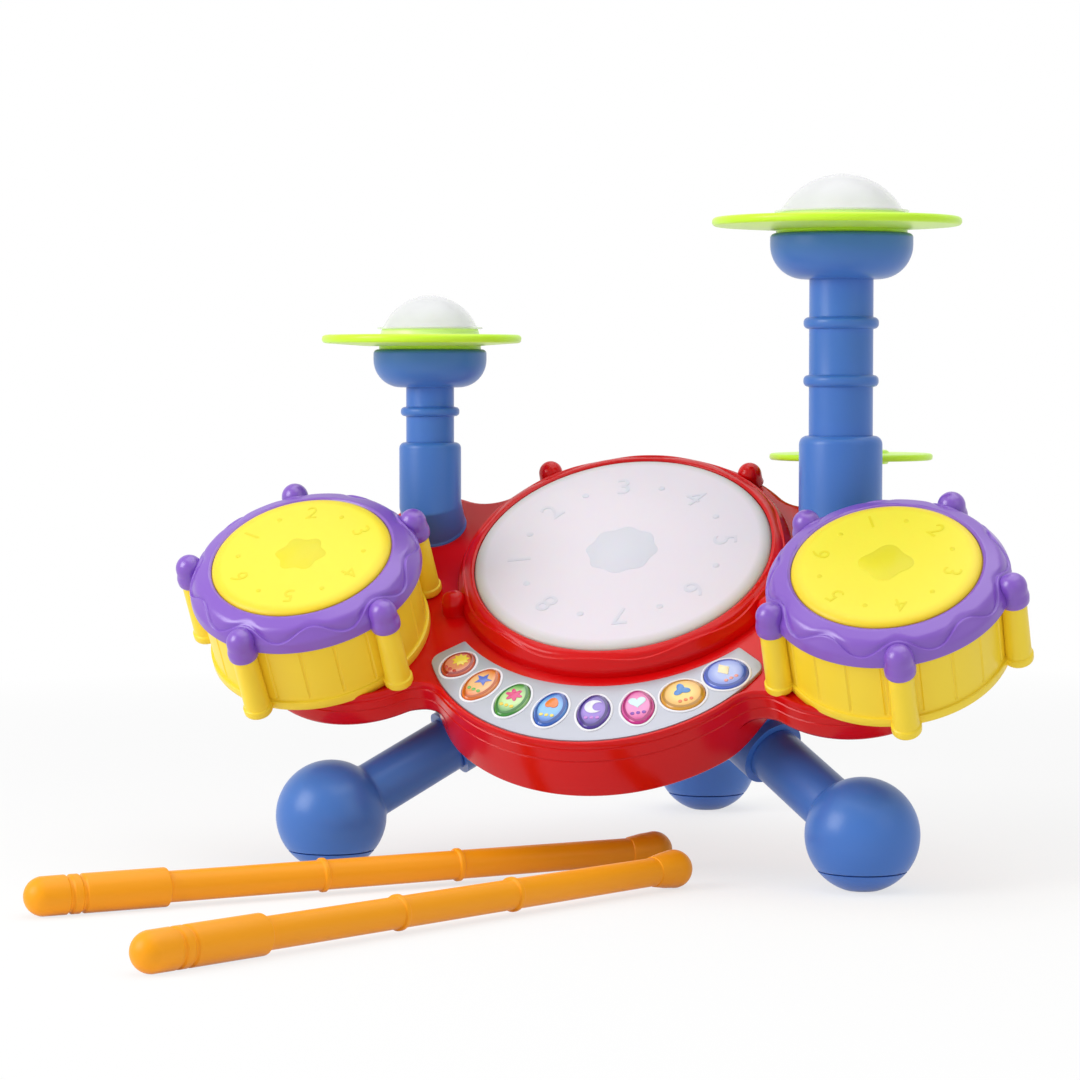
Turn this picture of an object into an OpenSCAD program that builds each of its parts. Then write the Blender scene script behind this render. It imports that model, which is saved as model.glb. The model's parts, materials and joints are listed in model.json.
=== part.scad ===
// Electronic toy drum kit: a tilted body on three ball feet carries a main drum,
// two side drums, two tower cymbals with light domes and a small rear cymbal.
// Origin: middle of the rear foot's sole. +Z up, player at -Y. Millimetres.
// Body frame (u, v, n): centre of the main drum head, v up the slope, n square to the deck.

/* [Stance] */
// Tilt of the deck towards the player, degrees
tilt = 36; // [33:0.5:39]
// Distance along the floor from the rear foot to the main drum head's centre
stance_d = 197; // [188:1:206]
// Height of the main drum head's centre
head_h = 152.2; // [148:0.1:162]
// Radius of the ball feet
ball_r = 26.7; // [24:0.1:29]
// Diameter of the flat sole under each ball
sole_d = 16; // [12:0.5:20]
// Height of the rubber pad that closes each ball
pad_h = 9; // [7:0.5:11]
// Front balls: distance inwards from the side drums' axes
foot_inset = 11.8; // [8:0.1:16]
// Front balls: distance ahead of the main drum head's centre
foot_ahead = 60.5; // [56:0.5:66]
// Radius of the leg tubes
leg_r = 13.5; // [12:0.1:15]
// Radius of the spigot that plugs a leg into its socket
spigot_r = 9; // [7:0.1:10]
// Length of the spigot
spigot_l = 18; // [14:0.5:20]
// Front leg seat, across
leg_seat_u = 66; // [62:0.5:70]
// Front leg seat, up the slope
leg_seat_v = -62; // [-66:0.5:-58]
// Rear leg seat, up the slope
rear_seat_v = 60; // [56:0.5:63]
// Depth of the leg seats below the body's floor
leg_seat_drop = 20; // [19:0.5:24]

/* [Body] */
// Depth of the deck below the main drum head
deck_drop = 11; // [10.5:0.1:12]
// Depth of the seam between the two shells
seam_drop = 17; // [16.5:0.1:19]
// Depth of the wings' underside
wing_drop = 28; // [26:0.5:31]
// Depth of the middle tub's underside
tub_drop = 40; // [38:0.5:43]
// Wall of the shells
wall = 2.5; // [2:0.1:3]
// Deck ledge round the main hoop
ledge_w = 8; // [6:0.5:10]
// Radius of the front lobe
front_r = 91; // [89:0.5:94]
// Front lobe's reach ahead of the main lobe's edge
front_v = 41; // [38:0.5:44]
// Radius of the wings under the side drums
wing_r = 52; // [50:0.5:55]
// Wing centre, inwards from the side drum's axis
wing_inset_u = 19; // [16:0.5:22]
// Wing centre, down the slope
wing_v = -52; // [-56:0.5:-48]
// Radius of the pads under the towers
pad_r = 27; // [25:0.5:29]
// Blend radius between tower pad and main lobe
rear_blend_r = 20; // [16:0.5:26]
// Blend radius between front lobe and wing
front_blend_r = 15; // [12:0.5:20]
// Blend radius between wing and tower pad
side_blend_r = 60; // [50:1:75]

/* [Main drum] */
// Radius of the white head
main_r = 73; // [70:0.5:76]
// Radial width of the red hoop, outside the head
main_hoop_w = 9; // [8:0.1:10]
// Depth of the hoop's crest below the head
main_hoop_drop = 1; // [0.5:0.1:1.5]
// Fall of the hoop from its crest to its outer wall
main_hoop_fall = 3.4; // [2:0.1:4.5]
// Depth of the hoop's retaining lip
main_lip_t = 3; // [2.5:0.1:3.5]
// Radius of the hoop's ball lugs
main_lug_r = 6; // [5:0.1:6.5]
// Number of places round the hoop, the front one left empty
main_lugs = 5; // [3:1:7]

/* [Side drums] */
// Radius of the yellow heads
side_r = 43.7; // [42:0.1:45]
// Drum axis, out from the main hoop's edge
side_gap_u = 59; // [57:0.5:64]
// Drum axis, down the slope
side_v = -57; // [-60:0.5:-54]
// Height of the head above the main drum's plane
side_rise = 41.3; // [36:0.1:44]
// Radial width of the purple hoop, outside the head
side_hoop_w = 12.8; // [12.4:0.1:13.6]
// Height of the purple hoop
side_hoop_h = 13.6; // [8.5:0.1:14.5]
// Fall of the purple hoop from its crest to its outer wall
side_hoop_fall = 6.4; // [4:0.1:7]
// Head's height above the hoop's crest
side_proud = 1.4; // [1.2:0.1:3]
// Depth of the hoop's retaining lip
side_lip_t = 1.9; // [1.6:0.1:2.2]
// Radius of the lug caps
lug_r = 7; // [6.5:0.1:7.5]
// Length of the lug caps under their round tops
lug_h = 9.1; // [8:0.1:12]
// Radius of the yellow posts under the lugs
post_rod_r = 6; // [5.5:0.1:6.3]
// Number of lugs
lugs = 5; // [3:1:8]
// Angle of the first lug on the right drum
lug_turn = 66.5; // [0:0.5:71.5]
// Height of the shell's bottom flange
foot_rim_h = 4.8; // [2.5:0.1:5]
// Width of the shell's bottom flange
foot_rim_w = 1.3; // [0.8:0.1:2]
// Number of staves round a shell
staves = 20; // [12:1:28]
// Width and depth of the lines between staves
stave_cut = 0.8; // [0.5:0.1:1.2]

/* [Heads] */
// Thickness of a head
head_t = 3; // [2.5:0.1:3.2]
// Thickness of a head's retaining flange
flange_t = 1.5; // [1.2:0.1:1.8]
// Width of a head's retaining flange
flange_w = 2.8; // [2.2:0.1:3]
// Travel of a struck head
head_travel = 2; // [1.5:0.1:2]
// Play left under a struck head
head_play = 0.2; // [0.1:0.05:0.4]

/* [Panel and buttons] */
// Thickness of the silver panel
panel_t = 1.6; // [1.2:0.1:1.8]
// Red lip outside the panel
lip_w = 3; // [2:0.1:4]
// Half of the panel's arc, degrees
panel_arc = 48.7; // [47:0.1:52]
// Length of an oval button
button_l = 25; // [22:0.1:26]
// Width of an oval button
button_w = 16.6; // [15:0.1:17.5]
// Diameter of a round button
button_d = 21; // [19:0.1:21.2]
// Radius of an oval button's ends
button_end_r = 5.5; // [4.5:0.1:6.5]
// Angle of the first oval button
button_turn = -130.5; // [-131.5:0.5:-129.5]
// Angle between oval buttons
button_step = 11; // [10.5:0.1:11.2]
// Angles of the two round buttons
round_turns = [-63.8, -51];
// Height of a button above the panel
button_proud = 1.5; // [1.4:0.1:2]
// Travel of a button
button_travel = 1.4; // [1:0.1:1.4]
// Width of the flange that keeps a button in
button_flange_w = 0.7; // [0.5:0.1:0.8]
// Thickness of a button's flange
button_flange_t = 1; // [0.8:0.1:1]
// Thickness of the rubber membrane
membrane_t = 1.5; // [1:0.1:1.6]
// Thickness of the circuit boards
board_t = 1.6; // [1:0.1:1.6]

/* [Towers] */
// Tower axis, out from the main hoop's edge
tower_gap_u = 22; // [20:0.5:24]
// Tower axis on the deck, up the slope
tower_v = 29; // [21:0.5:32]
// Height of the elbow above the deck
elbow_h = 15; // [13:0.5:20]
// Depth of a post in its socket
socket_depth = 22; // [16:0.5:24]
// Radius of a socket's rounded shoulder
shoulder_r = 3; // [1:0.1:4]
// Wire way through the towers, radius
wire_r = 4; // [2.5:0.1:5]
// Left: radius of the socket
left_socket_r = 15.5; // [15:0.1:17]
// Left: top of the socket above the floor
left_socket_top = 203.6; // [201:0.1:208]
// Left: radius of the post
left_post_r = 12; // [10:0.1:12.4]
// Left: height of the cup's floor
left_cup_z = 231; // [226:0.5:240]
// Left: outside radius of the cup
left_cup_r = 28.3; // [27:0.1:30]
// Left: height of the cup
left_cup_h = 19; // [17:0.5:22]
// Left: radius of the cymbal plate
left_plate_r = 49.5; // [46:0.5:54]
// Left: height of the dome above its collar
left_dome_h = 16.7; // [13:0.1:20]
// Right: radius of the socket
right_socket_r = 20.2; // [19.5:0.1:21]
// Right: top of the socket above the floor
right_socket_top = 208; // [205:0.1:213]
// Right: radius of the post
right_post_r = 15.5; // [13:0.1:16]
// Right: height of the cup's floor
right_cup_z = 283.6; // [276:0.5:292]
// Right: outside radius of the cup
right_cup_r = 34.5; // [33:0.1:36]
// Right: height of the cup
right_cup_h = 22; // [20:0.5:25]
// Right: radius of the cymbal plate
right_plate_r = 59.7; // [56:0.1:64]
// Right: height of the dome above its collar
right_dome_h = 18.5; // [15:0.1:22]

/* [Cymbals] */
// Thickness of a cymbal plate
plate_t = 5; // [4:0.1:6]
// Plate's centre, towards the player from the tower's axis
plate_shift = 14; // [10:0.5:16]
// Travel of a struck cymbal
plate_travel = 1.2; // [0.8:0.1:1.4]
// Gap between plate and cup at rest
plate_gap = 1.6; // [1.6:0.1:2.5]
// Depth of the skirt that guides a plate in its cup
skirt_h = 5; // [4:0.5:7]
// Wall of the skirt and of the dome's collar
skirt_w = 2.2; // [1.6:0.1:3]
// Height of the collar under a dome
collar_h = 3.6; // [2.5:0.1:5]
// Collar's radius, inwards from the cup's
collar_inset = 4; // [3:0.1:5]
// Wall of a dome
dome_t = 1.8; // [1.2:0.1:2]
// Radius of the rear cymbal
rear_plate_r = 41; // [36:0.5:42]
// Thickness of the rear cymbal
rear_plate_t = 3.8; // [3:0.1:5]
// Height of the rear cymbal's middle
rear_plate_z = 196; // [193:0.5:199]
// Radius of the rear cymbal's hub
rear_hub_r = 18.5; // [14:0.5:20]
// Height of the rear cymbal's hub
rear_hub_h = 7; // [6:0.1:9]
// Rear cymbal's centre behind the tower
rear_back = 64.5; // [64:0.5:72]
// Rear cymbal's centre inwards from the tower
rear_in = 6; // [4:0.5:9]
// Width of the arm to the rear cymbal
arm_w = 18; // [12:0.5:22]
// Depth of the arm
arm_h = 9; // [7:0.5:10]

/* [Inside] */
// Radius of the speaker
speaker_r = 28; // [24:0.5:30]
// Depth of the speaker
speaker_h = 15; // [12:0.5:17]
// Speaker's centre, up the slope
speaker_v = 12; // [8:0.5:16]
// Diameter of a battery
cell_d = 14.2; // [13.5:0.1:14.5]
// Length of a battery
cell_l = 49.5; // [48:0.1:50.5]
// Number of batteries
cells = 3; // [2:1:3]
// Battery box's middle, up the slope
box_v = -62; // [-66:0.5:-56]
// Wall of the battery box
box_wall = 1.5; // [1.2:0.1:2]
// Travel of the power switch
switch_travel = 4; // [3:0.5:5]
// Power switch, across
switch_u = 48; // [44:0.5:52]
// Power switch, up the slope
switch_v = 46; // [42:0.5:50]

/* [Drumsticks] */
// Length from the grip's end to the tip's centre
stick_l = 316; // [300:1:325]
// Radius of the grip and of the tip
grip_r = 8.9; // [8:0.1:9.5]
// Length of the grip
grip_l = 66; // [55:1:80]
// Radius of the shaft at the grip
shaft_r1 = 7.1; // [6.5:0.1:7.5]
// Radius of the shaft at the tip
shaft_r2 = 6.5; // [5.8:0.1:6.5]
// Width of the rings on the shaft
ring_w = 2.4; // [1.5:0.1:4]
// Direction of the lower stick, degrees from +X
lower_turn = 60.3; // [59.5:0.1:61]
// Direction of the upper stick, degrees from +X
upper_turn = 42.3; // [41.5:0.1:43]

/* [Hidden] */
$fn = 64;
eps = 0.02;
fit_gap = 0.3;
seat_gap = 0.2;
screw_r = 1.5;
screw_head_r = 3;
screw_head_h = 2;
boss_r = 4.5;
blend_trim = 1.5;
wire_step = 0.5;

head_y = -stance_d;
ball_z = sqrt(ball_r * ball_r - sole_d * sole_d / 4);
main_hoop_r = main_r + main_hoop_w;
main_lobe_r = main_hoop_r + ledge_w;
side_u = main_hoop_r + side_gap_u;
side_hoop_r = side_r + side_hoop_w;
wing_u = side_u - wing_inset_u;
tower_u = main_hoop_r + tower_gap_u;
foot_u = side_u - foot_inset;
foot_y = head_y - foot_ahead;
deck_n = -deck_drop;
under_deck_n = deck_n - wall;
seam_n = -seam_drop;
tub_n = -tub_drop;
tub_floor_n = tub_n + wall;
leg_seat_n = tub_n - leg_seat_drop;

// The main drum's stack, from the head down
main_hoop_n = -main_hoop_drop;
main_lip_n = main_hoop_n - main_lip_t;
main_pad_n = main_lip_n - flange_t - head_travel - head_play;

// A side drum's stack, from the head down
side_hoop_n = side_rise - side_proud;
side_lip_n = side_hoop_n - side_lip_t;
side_pad_n = side_lip_n - flange_t - head_travel - head_play;
side_pad_t = 1.4;
side_ledge_n = side_pad_n - side_pad_t;
side_seat_n = max(side_hoop_n - side_hoop_fall - seat_gap * 2, side_ledge_n + seat_gap);
side_ledge_t = 2.5;
side_skirt_n = side_hoop_n - side_hoop_h;
stave_n = deck_n + foot_rim_h + stave_cut;
hoop_skirt_w = 3.5;
side_shell_r = side_hoop_r - hoop_skirt_w - fit_gap;
lug_sink = 0.7;
lug_ring_r = side_shell_r + post_rod_r - lug_sink;
lug_drop = 7.2;
lug_n = side_hoop_n - lug_drop;
lug_foot_n = lug_n - lug_h;

panel_rim = 0.5;
front_c = main_lobe_r + front_v - front_r;
panel_in_r = main_lobe_r - panel_rim;
panel_out_r = front_r - lip_w;
panel_n = deck_n + panel_t;
window_inset = 1.2;
button_margin = 2.4;
oval_count = 6;
button_top_n = panel_n + button_proud;
membrane_n = under_deck_n;
board_n = membrane_n - membrane_t;

leg_collar_w = 3;
leg_collar_r = leg_r + leg_collar_w;
leg_bore_r = spigot_r + seat_gap;
collar_l = spigot_l + 2;
main_boss_turns = [30, 150, 210, 330];
main_boss_in = 2.8;
main_bosses = [for (a = main_boss_turns) (main_hoop_r - main_boss_in) * [cos(a), sin(a)]];
side_boss_in = 24;
side_boss_v = 18;
side_bosses = [for (v = [-side_boss_v, side_boss_v]) [side_u - side_boss_in, side_v + v]];
hoop_crest_w = 1.2;
hoop_crest_drop = 0.8;
hoop_bend_r = 2.5;
hoop_facets = 6;
light_board_in = 28;
main_led_in = 8;
main_led_r = 2.5;
main_led_h = 2.2;
joint_proud = 0.4;
rib_proud = 2.7;
rear_pin_r = 6;
rear_pad_r = 14;
rear_pin_roof = 2;
rear_arm_top = rear_plate_z - rear_hub_h / 2 - plate_gap;
leg_names = ["left", "right", "rear"];
ball_places = [[-foot_u, foot_y, ball_z], [foot_u, foot_y, ball_z], [0, 0, ball_z]];
case_bosses = [[55, 60], [82, 10], [84, -50]];
grille_rings = [[1, 0], [6, 8], [12, 16]];
grille_hole_r = 1.6;
box_l = cell_l + 4;
cell_pitch = cell_d + 0.8;
box_w = cells * cell_pitch + 2;
box_h = cell_d + 3;
door_margin = 4;
knob_l = 8;
knob_w = 4;
lower_grip = [-112.7, -353.1];
upper_grip = [-212.3, -234.5];

buttons = [for (i = [1:8]) str("button_", i)];
sides = ["left", "right"];

red = [0.84, 0.06, 0.08];
blue = [0.29, 0.49, 0.80];
lime = [0.67, 0.94, 0.16];
purple = [0.59, 0.39, 0.88];
amber = [0.98, 0.78, 0.16];
yellow = [0.98, 0.92, 0.24];
orange = [0.96, 0.63, 0.12];
pearl = [0.90, 0.87, 0.91];
silver = [0.80, 0.81, 0.84];
steel = [0.70, 0.70, 0.72];
rubber = [0.25, 0.25, 0.27];
board_green = [0.10, 0.45, 0.25];
button_colours = [[0.85, 0.25, 0.15], [0.95, 0.55, 0.15], [0.30, 0.65, 0.25], [0.20, 0.50, 0.85],
    [0.45, 0.25, 0.75], [0.85, 0.15, 0.60], [0.95, 0.75, 0.20], [0.45, 0.55, 0.90]];

// A point of the body frame, in the part's own frame
function placed(p) = [
    p[0],
    head_y + p[1] * cos(tilt) - p[2] * sin(tilt),
    head_h + p[1] * sin(tilt) + p[2] * cos(tilt)];

// Meeting point of two circles, on the side that is left of the way from a to b
function meet(a, ra, b, rb) =
    let (d = norm(b - a), e = (b - a) / d, along = (ra * ra - rb * rb + d * d) / (2 * d),
         off = sqrt(ra * ra - along * along))
    a + along * e + off * [-e[1], e[0]];

// Panel's outer edge and the middle of its band, measured from the main drum's centre
function band_out(a) = -front_c * sin(a) + sqrt(pow(panel_out_r, 2) - pow(front_c * cos(a), 2));
function band_mid(a) = (panel_in_r + band_out(a)) / 2;
function button_angle(i) = i < oval_count ? button_turn + button_step * i : round_turns[i - oval_count];
function button_len(i) = min(i < oval_count ? button_l : button_d,
    band_out(button_angle(i)) - panel_in_r - 2 * button_margin);
function button_wid(i) = i < oval_count ? button_w : button_len(i);

module on_body() {
    translate([0, head_y, head_h]) rotate([tilt, 0, 0]) children();
}

module both() {
    children();
    mirror([1, 0, 0]) children();
}

// Draws its children along +Z from a towards b
module along(a, b) {
    d = b - a;
    translate(a) rotate([0, acos(d[2] / norm(d)), atan2(d[1], d[0])]) children();
}

// A tube between two heights
module tube(r, hole_r, low, high) {
    translate([0, 0, low]) difference() {
        cylinder(r = r, h = high - low);
        if (hole_r > 0) translate([0, 0, -1]) cylinder(r = hole_r, h = high - low + 2);
    }
}

// A half profile with rounded corners, from the axis out to r
module round_disc(r, low, high, edge) {
    translate([0, low]) square([r - edge, high - low]);
    translate([0, low + edge]) square([r, high - low - 2 * edge]);
    for (n = [low + edge, high - edge]) translate([r - edge, n]) circle(r = edge);
}

// Body outline

// A concave blend beside the circles at a and b, its thin ends trimmed
module blend(a, ra, b, rb, r, inset) {
    f = meet(a, ra + r, b, rb + r);
    back = a + b - 2 * f;
    difference() {
        polygon([a, b, f + blend_trim * back / norm(back)]);
        translate(f) circle(r = r + inset);
    }
}

module tub_plan(inset) {
    circle(r = main_lobe_r - inset);
    translate([0, -front_c]) circle(r = front_r - inset);
    polygon([[-main_lobe_r + inset, 0], [-front_r + inset, -front_c],
        [front_r - inset, -front_c], [main_lobe_r - inset, 0]]);
}

module body_plan(inset) {
    front = [0, -front_c];
    wing = [wing_u, wing_v];
    pad = [tower_u, tower_v];
    tub_plan(inset);
    both() {
        translate(wing) circle(r = wing_r - inset);
        translate(pad) circle(r = pad_r - inset);
        polygon([front, wing, pad, [0, 0]]);
        blend(wing, wing_r, front, front_r, front_blend_r, inset);
        blend([0, 0], main_lobe_r, pad, pad_r, rear_blend_r, inset);
        blend(pad, pad_r, wing, wing_r, side_blend_r, inset);
    }
}

module slab(low, high) {
    translate([0, 0, low]) linear_extrude(high - low) children();
}

module panel_plan(inset) {
    reach = front_r + front_c;
    intersection() {
        difference() {
            translate([0, -front_c]) circle(r = panel_out_r - inset);
            circle(r = panel_in_r + inset);
        }
        translate([0, -inset / sin(panel_arc)])
            polygon([[0, 0], reach * 2 * [-sin(panel_arc), -cos(panel_arc)],
                reach * 2 * [sin(panel_arc), -cos(panel_arc)]]);
    }
}

// Body shells

module body_top_shell() {
    color(red) on_body() difference() {
        union() {
            difference() {
                slab(seam_n, deck_n) body_plan(0);
                slab(seam_n - 1, under_deck_n) body_plan(wall);
            }
            slab(under_deck_n, panel_n) intersection() {
                difference() {
                    translate([0, -front_c]) circle(r = front_r - 0.6);
                    translate([0, -front_c]) circle(r = panel_out_r + seat_gap);
                }
                translate([-front_r, -front_c - front_r]) square([2 * front_r, front_r * 0.72]);
            }
            both() for (p = case_bosses) translate(p) tube(boss_r, 0, seam_n, under_deck_n + eps);
        }
        slab(under_deck_n - 1, deck_n + 1) panel_plan(window_inset);
        for (i = [0:len(buttons) - 1]) at_button(i) slab(under_deck_n - 1, deck_n + 1)
            oval(button_len(i), button_wid(i), button_flange_w + fit_gap);
        both() for (p = case_bosses) translate([p[0], p[1], seam_n - 1])
            cylinder(r = screw_r + seat_gap, h = seam_drop - deck_drop - 0.2);
        for (p = main_bosses) deck_hole(p);
        both() for (p = side_bosses) deck_hole(p);
        both() translate([tower_u, tower_v, under_deck_n - 1]) cylinder(r = wire_r, h = wall + 2);
        translate([0, 0, under_deck_n - 1]) cylinder(r = wire_r, h = wall + 2);
    }
}

module deck_hole(p) {
    translate([p[0], p[1], under_deck_n - 1]) cylinder(r = screw_r + seat_gap, h = wall + 2);
}

module body_bottom_shell() {
    color(red) on_body() difference() {
        union() {
            difference() {
                union() {
                    slab(-wing_drop, seam_n) body_plan(0);
                    slab(tub_n, seam_n) tub_plan(0);
                }
                slab(wall - wing_drop, seam_n + 1) body_plan(wall);
                slab(tub_floor_n, seam_n + 1) tub_plan(wall);
            }
            both() for (p = case_bosses) translate(p) tube(boss_r, 0, tub_n, seam_n);
        }
        both() for (p = case_bosses) translate([p[0], p[1], tub_n - 1]) {
            cylinder(r = screw_r + seat_gap, h = tub_drop - seam_drop + 2);
            cylinder(r = screw_head_r + seat_gap, h = screw_head_h + 1 + seat_gap);
        }
        translate([0, speaker_v, tub_n - 1]) for (ring = grille_rings, i = [0:ring[0] - 1])
            rotate(i * 360 / ring[0]) translate([ring[1], 0]) cylinder(r = grille_hole_r, h = wall + 2);
        translate([-box_l / 2, box_v - box_w / 2, tub_n - 1]) cube([box_l, box_w, wall + 2]);
        door_place() cube([door_l() + 2 * seat_gap, door_w() + 2 * seat_gap, 2 * door_t()], center = true);
        translate([0, door_screw_v(), tub_n]) cylinder(r = screw_r + seat_gap, h = wall + 1);
        translate([switch_u, switch_v, tub_n])
            cube([knob_l + switch_travel + 2 * fit_gap, knob_w + 2 * fit_gap, 3 * wall], center = true);
        for (p = leg_seats()) translate([p[0], p[1], tub_n - 1])
            cylinder(r = screw_r + seat_gap, h = wall + 2);
    }
}

// Drums

// A head: a rounded plate on a short wall, with the flange that its hoop holds down
module drum_head(r, top, lip) {
    rotate_extrude() {
        round_disc(r, top - head_t, top, head_t / 2 - 0.1);
        translate([r - head_t - 1, lip - flange_t]) square([head_t, top - lip]);
        translate([r - head_t - 1, lip - flange_t]) square([head_t + 1 + flange_w - seat_gap, flange_t]);
    }
}

// A hoop's half profile: the lip over the head's flange, and a crest that falls to a rounded shoulder
module hoop_profile(r, out_r, top, lip, low, fall) {
    in_r = r + fit_gap;
    crest_r = in_r + hoop_crest_w;
    slope = atan2(fall, out_r - crest_r);
    bend_r = out_r - hoop_bend_r;
    bend_n = top - (bend_r - crest_r) * tan(slope) - hoop_bend_r / cos(slope);
    turns = [for (i = [0:hoop_facets]) 90 - (90 - slope) * i / hoop_facets];
    shoulder = [for (a = turns) [bend_r + hoop_bend_r * sin(a), bend_n + hoop_bend_r * cos(a)]];
    difference() {
        polygon(concat([[in_r, low], [out_r, low]], shoulder, [[crest_r, top], [in_r, top - hoop_crest_drop]]));
        translate([-1, low - 1]) square([r + flange_w + fit_gap + 1, lip - low + 1]);
    }
}

// The upper half of a ball
module ball_top(r) {
    rotate_extrude() intersection() {
        circle(r = r);
        square(r);
    }
}

module main_drum_hoop() {
    step = 360 / main_lugs;
    color(red) on_body() difference() {
        union() {
            rotate_extrude()
                hoop_profile(main_r, main_hoop_r, main_hoop_n, main_lip_n, deck_n, main_hoop_fall);
            for (i = [0:main_lugs - 1]) if (i != floor(main_lugs / 2)) rotate(90 - step * (i + 0.5))
                translate([main_hoop_r + 1, 0]) {
                    tube(main_lug_r, 0, deck_n + seat_gap, main_hoop_n - main_lug_r + 1);
                    translate([0, 0, main_hoop_n - main_lug_r + 1]) ball_top(main_lug_r);
                }
        }
        translate([0, 0, deck_n - 1]) cylinder(r = main_r + flange_w + fit_gap, h = main_lip_n - deck_n + 1);
        for (p = main_bosses) translate([p[0], p[1], deck_n - 1])
            cylinder(r = screw_r + seat_gap, h = 6);
    }
}

module main_drum_head() {
    color(pearl) on_body() drum_head(main_r, 0, main_lip_n);
}

module main_switch_ring() {
    color(rubber) on_body() tube(main_r + flange_w - 1.5, main_r - 4, deck_n, main_pad_n);
}

// Board with lights under the main head
module main_light_board() {
    board_r = main_r - light_board_in;
    color(board_green) on_body() translate([0, 0, deck_n]) difference() {
        union() {
            cylinder(r = board_r, h = board_t);
            for (i = [0:5]) rotate(i * 60) translate([board_r - main_led_in, 0])
                cylinder(r = main_led_r, h = board_t + main_led_h);
        }
        translate([0, 0, -1]) cylinder(r = wire_r, h = board_t + 2);
    }
}

module on_side_drum(s) {
    on_body() mirror([s == "left" ? 1 : 0, 0, 0]) translate([side_u, side_v]) children();
}

module at_lugs() {
    for (i = [0:lugs - 1]) rotate(lug_turn + i * 360 / lugs) translate([lug_ring_r, 0]) children();
}

module side_drum_shell(s) {
    color(amber) on_side_drum(s) difference() {
        union() {
            tube(side_shell_r, side_shell_r - wall, deck_n, side_seat_n);
            tube(side_shell_r, 0, deck_n, deck_n + wall);
            tube(side_shell_r - wall / 2, side_r - head_t - 1, side_ledge_n - side_ledge_t, side_ledge_n);
            tube(side_shell_r + foot_rim_w, side_shell_r - wall, deck_n, deck_n + foot_rim_h);
            difference() {
                at_lugs() {
                    tube(post_rod_r, 0, deck_n + post_rod_r, lug_foot_n);
                    translate([0, 0, deck_n + post_rod_r]) sphere(r = post_rod_r);
                }
                translate([0, 0, deck_n - 1])
                    cylinder(r = side_shell_r - wall / 2, h = lug_foot_n - deck_n + 2);
            }
        }
        for (i = [0:staves - 1]) rotate(lug_turn + (i + 0.5) * 360 / staves)
            translate([side_shell_r, 0, (stave_n + side_skirt_n) / 2])
                cube([stave_cut * 2, stave_cut, side_skirt_n - stave_n], center = true);
        for (p = side_bosses) translate([p[0] - side_u, p[1] - side_v, deck_n - 1])
            cylinder(r = screw_r + seat_gap, h = wall + 2);
    }
}

module side_drum_hoop(s) {
    color(purple) on_side_drum(s) difference() {
        union() {
            rotate_extrude()
                hoop_profile(side_r, side_hoop_r, side_hoop_n, side_lip_n, side_skirt_n, side_hoop_fall);
            at_lugs() {
                tube(lug_r, 0, lug_foot_n, lug_n);
                translate([0, 0, lug_n]) sphere(r = lug_r);
            }
        }
        translate([0, 0, lug_foot_n - 1])
            cylinder(r = side_shell_r + fit_gap, h = side_seat_n - lug_foot_n + 1);
    }
}

module side_drum_head(s) {
    color(yellow) on_side_drum(s) drum_head(side_r, side_rise, side_lip_n);
}

module side_drum_switch(s) {
    color(rubber) on_side_drum(s)
        tube(side_r + flange_w - 1, side_r - head_t - 0.5, side_ledge_n, side_pad_n);
}

// Panel and buttons

module oval(len, wid, grow) {
    if (len - wid < 1) circle(d = wid + 2 * grow);
    else {
        half_w = wid / 2;
        reach = len / 2 - button_end_r;
        side_arc = (half_w * half_w + reach * reach - pow(button_end_r, 2)) / (2 * (half_w - button_end_r));
        end_y = reach * side_arc / (side_arc - button_end_r);
        for (y = [-reach, reach]) translate([0, y]) circle(r = button_end_r + grow);
        intersection() {
            translate([side_arc - half_w, 0]) circle(r = side_arc + grow);
            translate([half_w - side_arc, 0]) circle(r = side_arc + grow);
            square([wid + 2 * grow + 2, 2 * end_y], center = true);
        }
    }
}

module at_button(i) {
    a = button_angle(i);
    rotate(a) translate([band_mid(a), 0]) rotate(-90) children();
}

module control_panel() {
    color(silver) on_body() difference() {
        slab(deck_n, panel_n) panel_plan(seat_gap);
        for (i = [0:len(buttons) - 1]) at_button(i) slab(deck_n - 1, panel_n + 1)
            oval(button_len(i), button_wid(i), fit_gap);
    }
}

module button(i) {
    color(button_colours[i]) on_body() at_button(i) {
        slab(deck_n - button_flange_t, button_top_n) oval(button_len(i), button_wid(i), 0);
        slab(deck_n - button_flange_t, deck_n) oval(button_len(i), button_wid(i), button_flange_w);
    }
}

module button_membrane() {
    color(rubber) on_body() slab(board_n, membrane_n) panel_plan(seat_gap);
}

module main_board() {
    chip = [14, 9, 2];
    chip_u = 24;
    chip_in = 14;
    color(board_green) on_body() {
        slab(board_n - board_t, board_n) panel_plan(1);
        for (u = [-chip_u, chip_u])
            translate([u - chip[0] / 2, chip_in - front_c - panel_out_r, board_n - board_t - chip[2]])
                cube([chip[0], chip[1], chip[2] + board_t / 2]);
    }
}

// Inside the tub

module speaker() {
    magnet_r = speaker_r * 0.5;
    cone_h = speaker_h * 0.55;
    color(steel) on_body() translate([0, speaker_v, tub_floor_n]) rotate_extrude() difference() {
        union() {
            square([speaker_r, wall]);
            polygon([[0, wall], [speaker_r - 3, wall], [magnet_r, cone_h], [0, cone_h]]);
            translate([0, cone_h]) square([magnet_r, speaker_h - cone_h]);
        }
        polygon([[-1, -1], [speaker_r - 5, -1], [magnet_r * 0.5, cone_h - 2], [-1, cone_h - 2]]);
    }
}

function door_l() = box_l + 2 * door_margin;
function door_w() = box_w + 2 * door_margin;
function door_t() = wall / 2;
function door_screw_v() = box_v - box_w / 2 - door_margin / 2;

module door_place() {
    translate([0, box_v, tub_n]) children();
}

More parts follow.
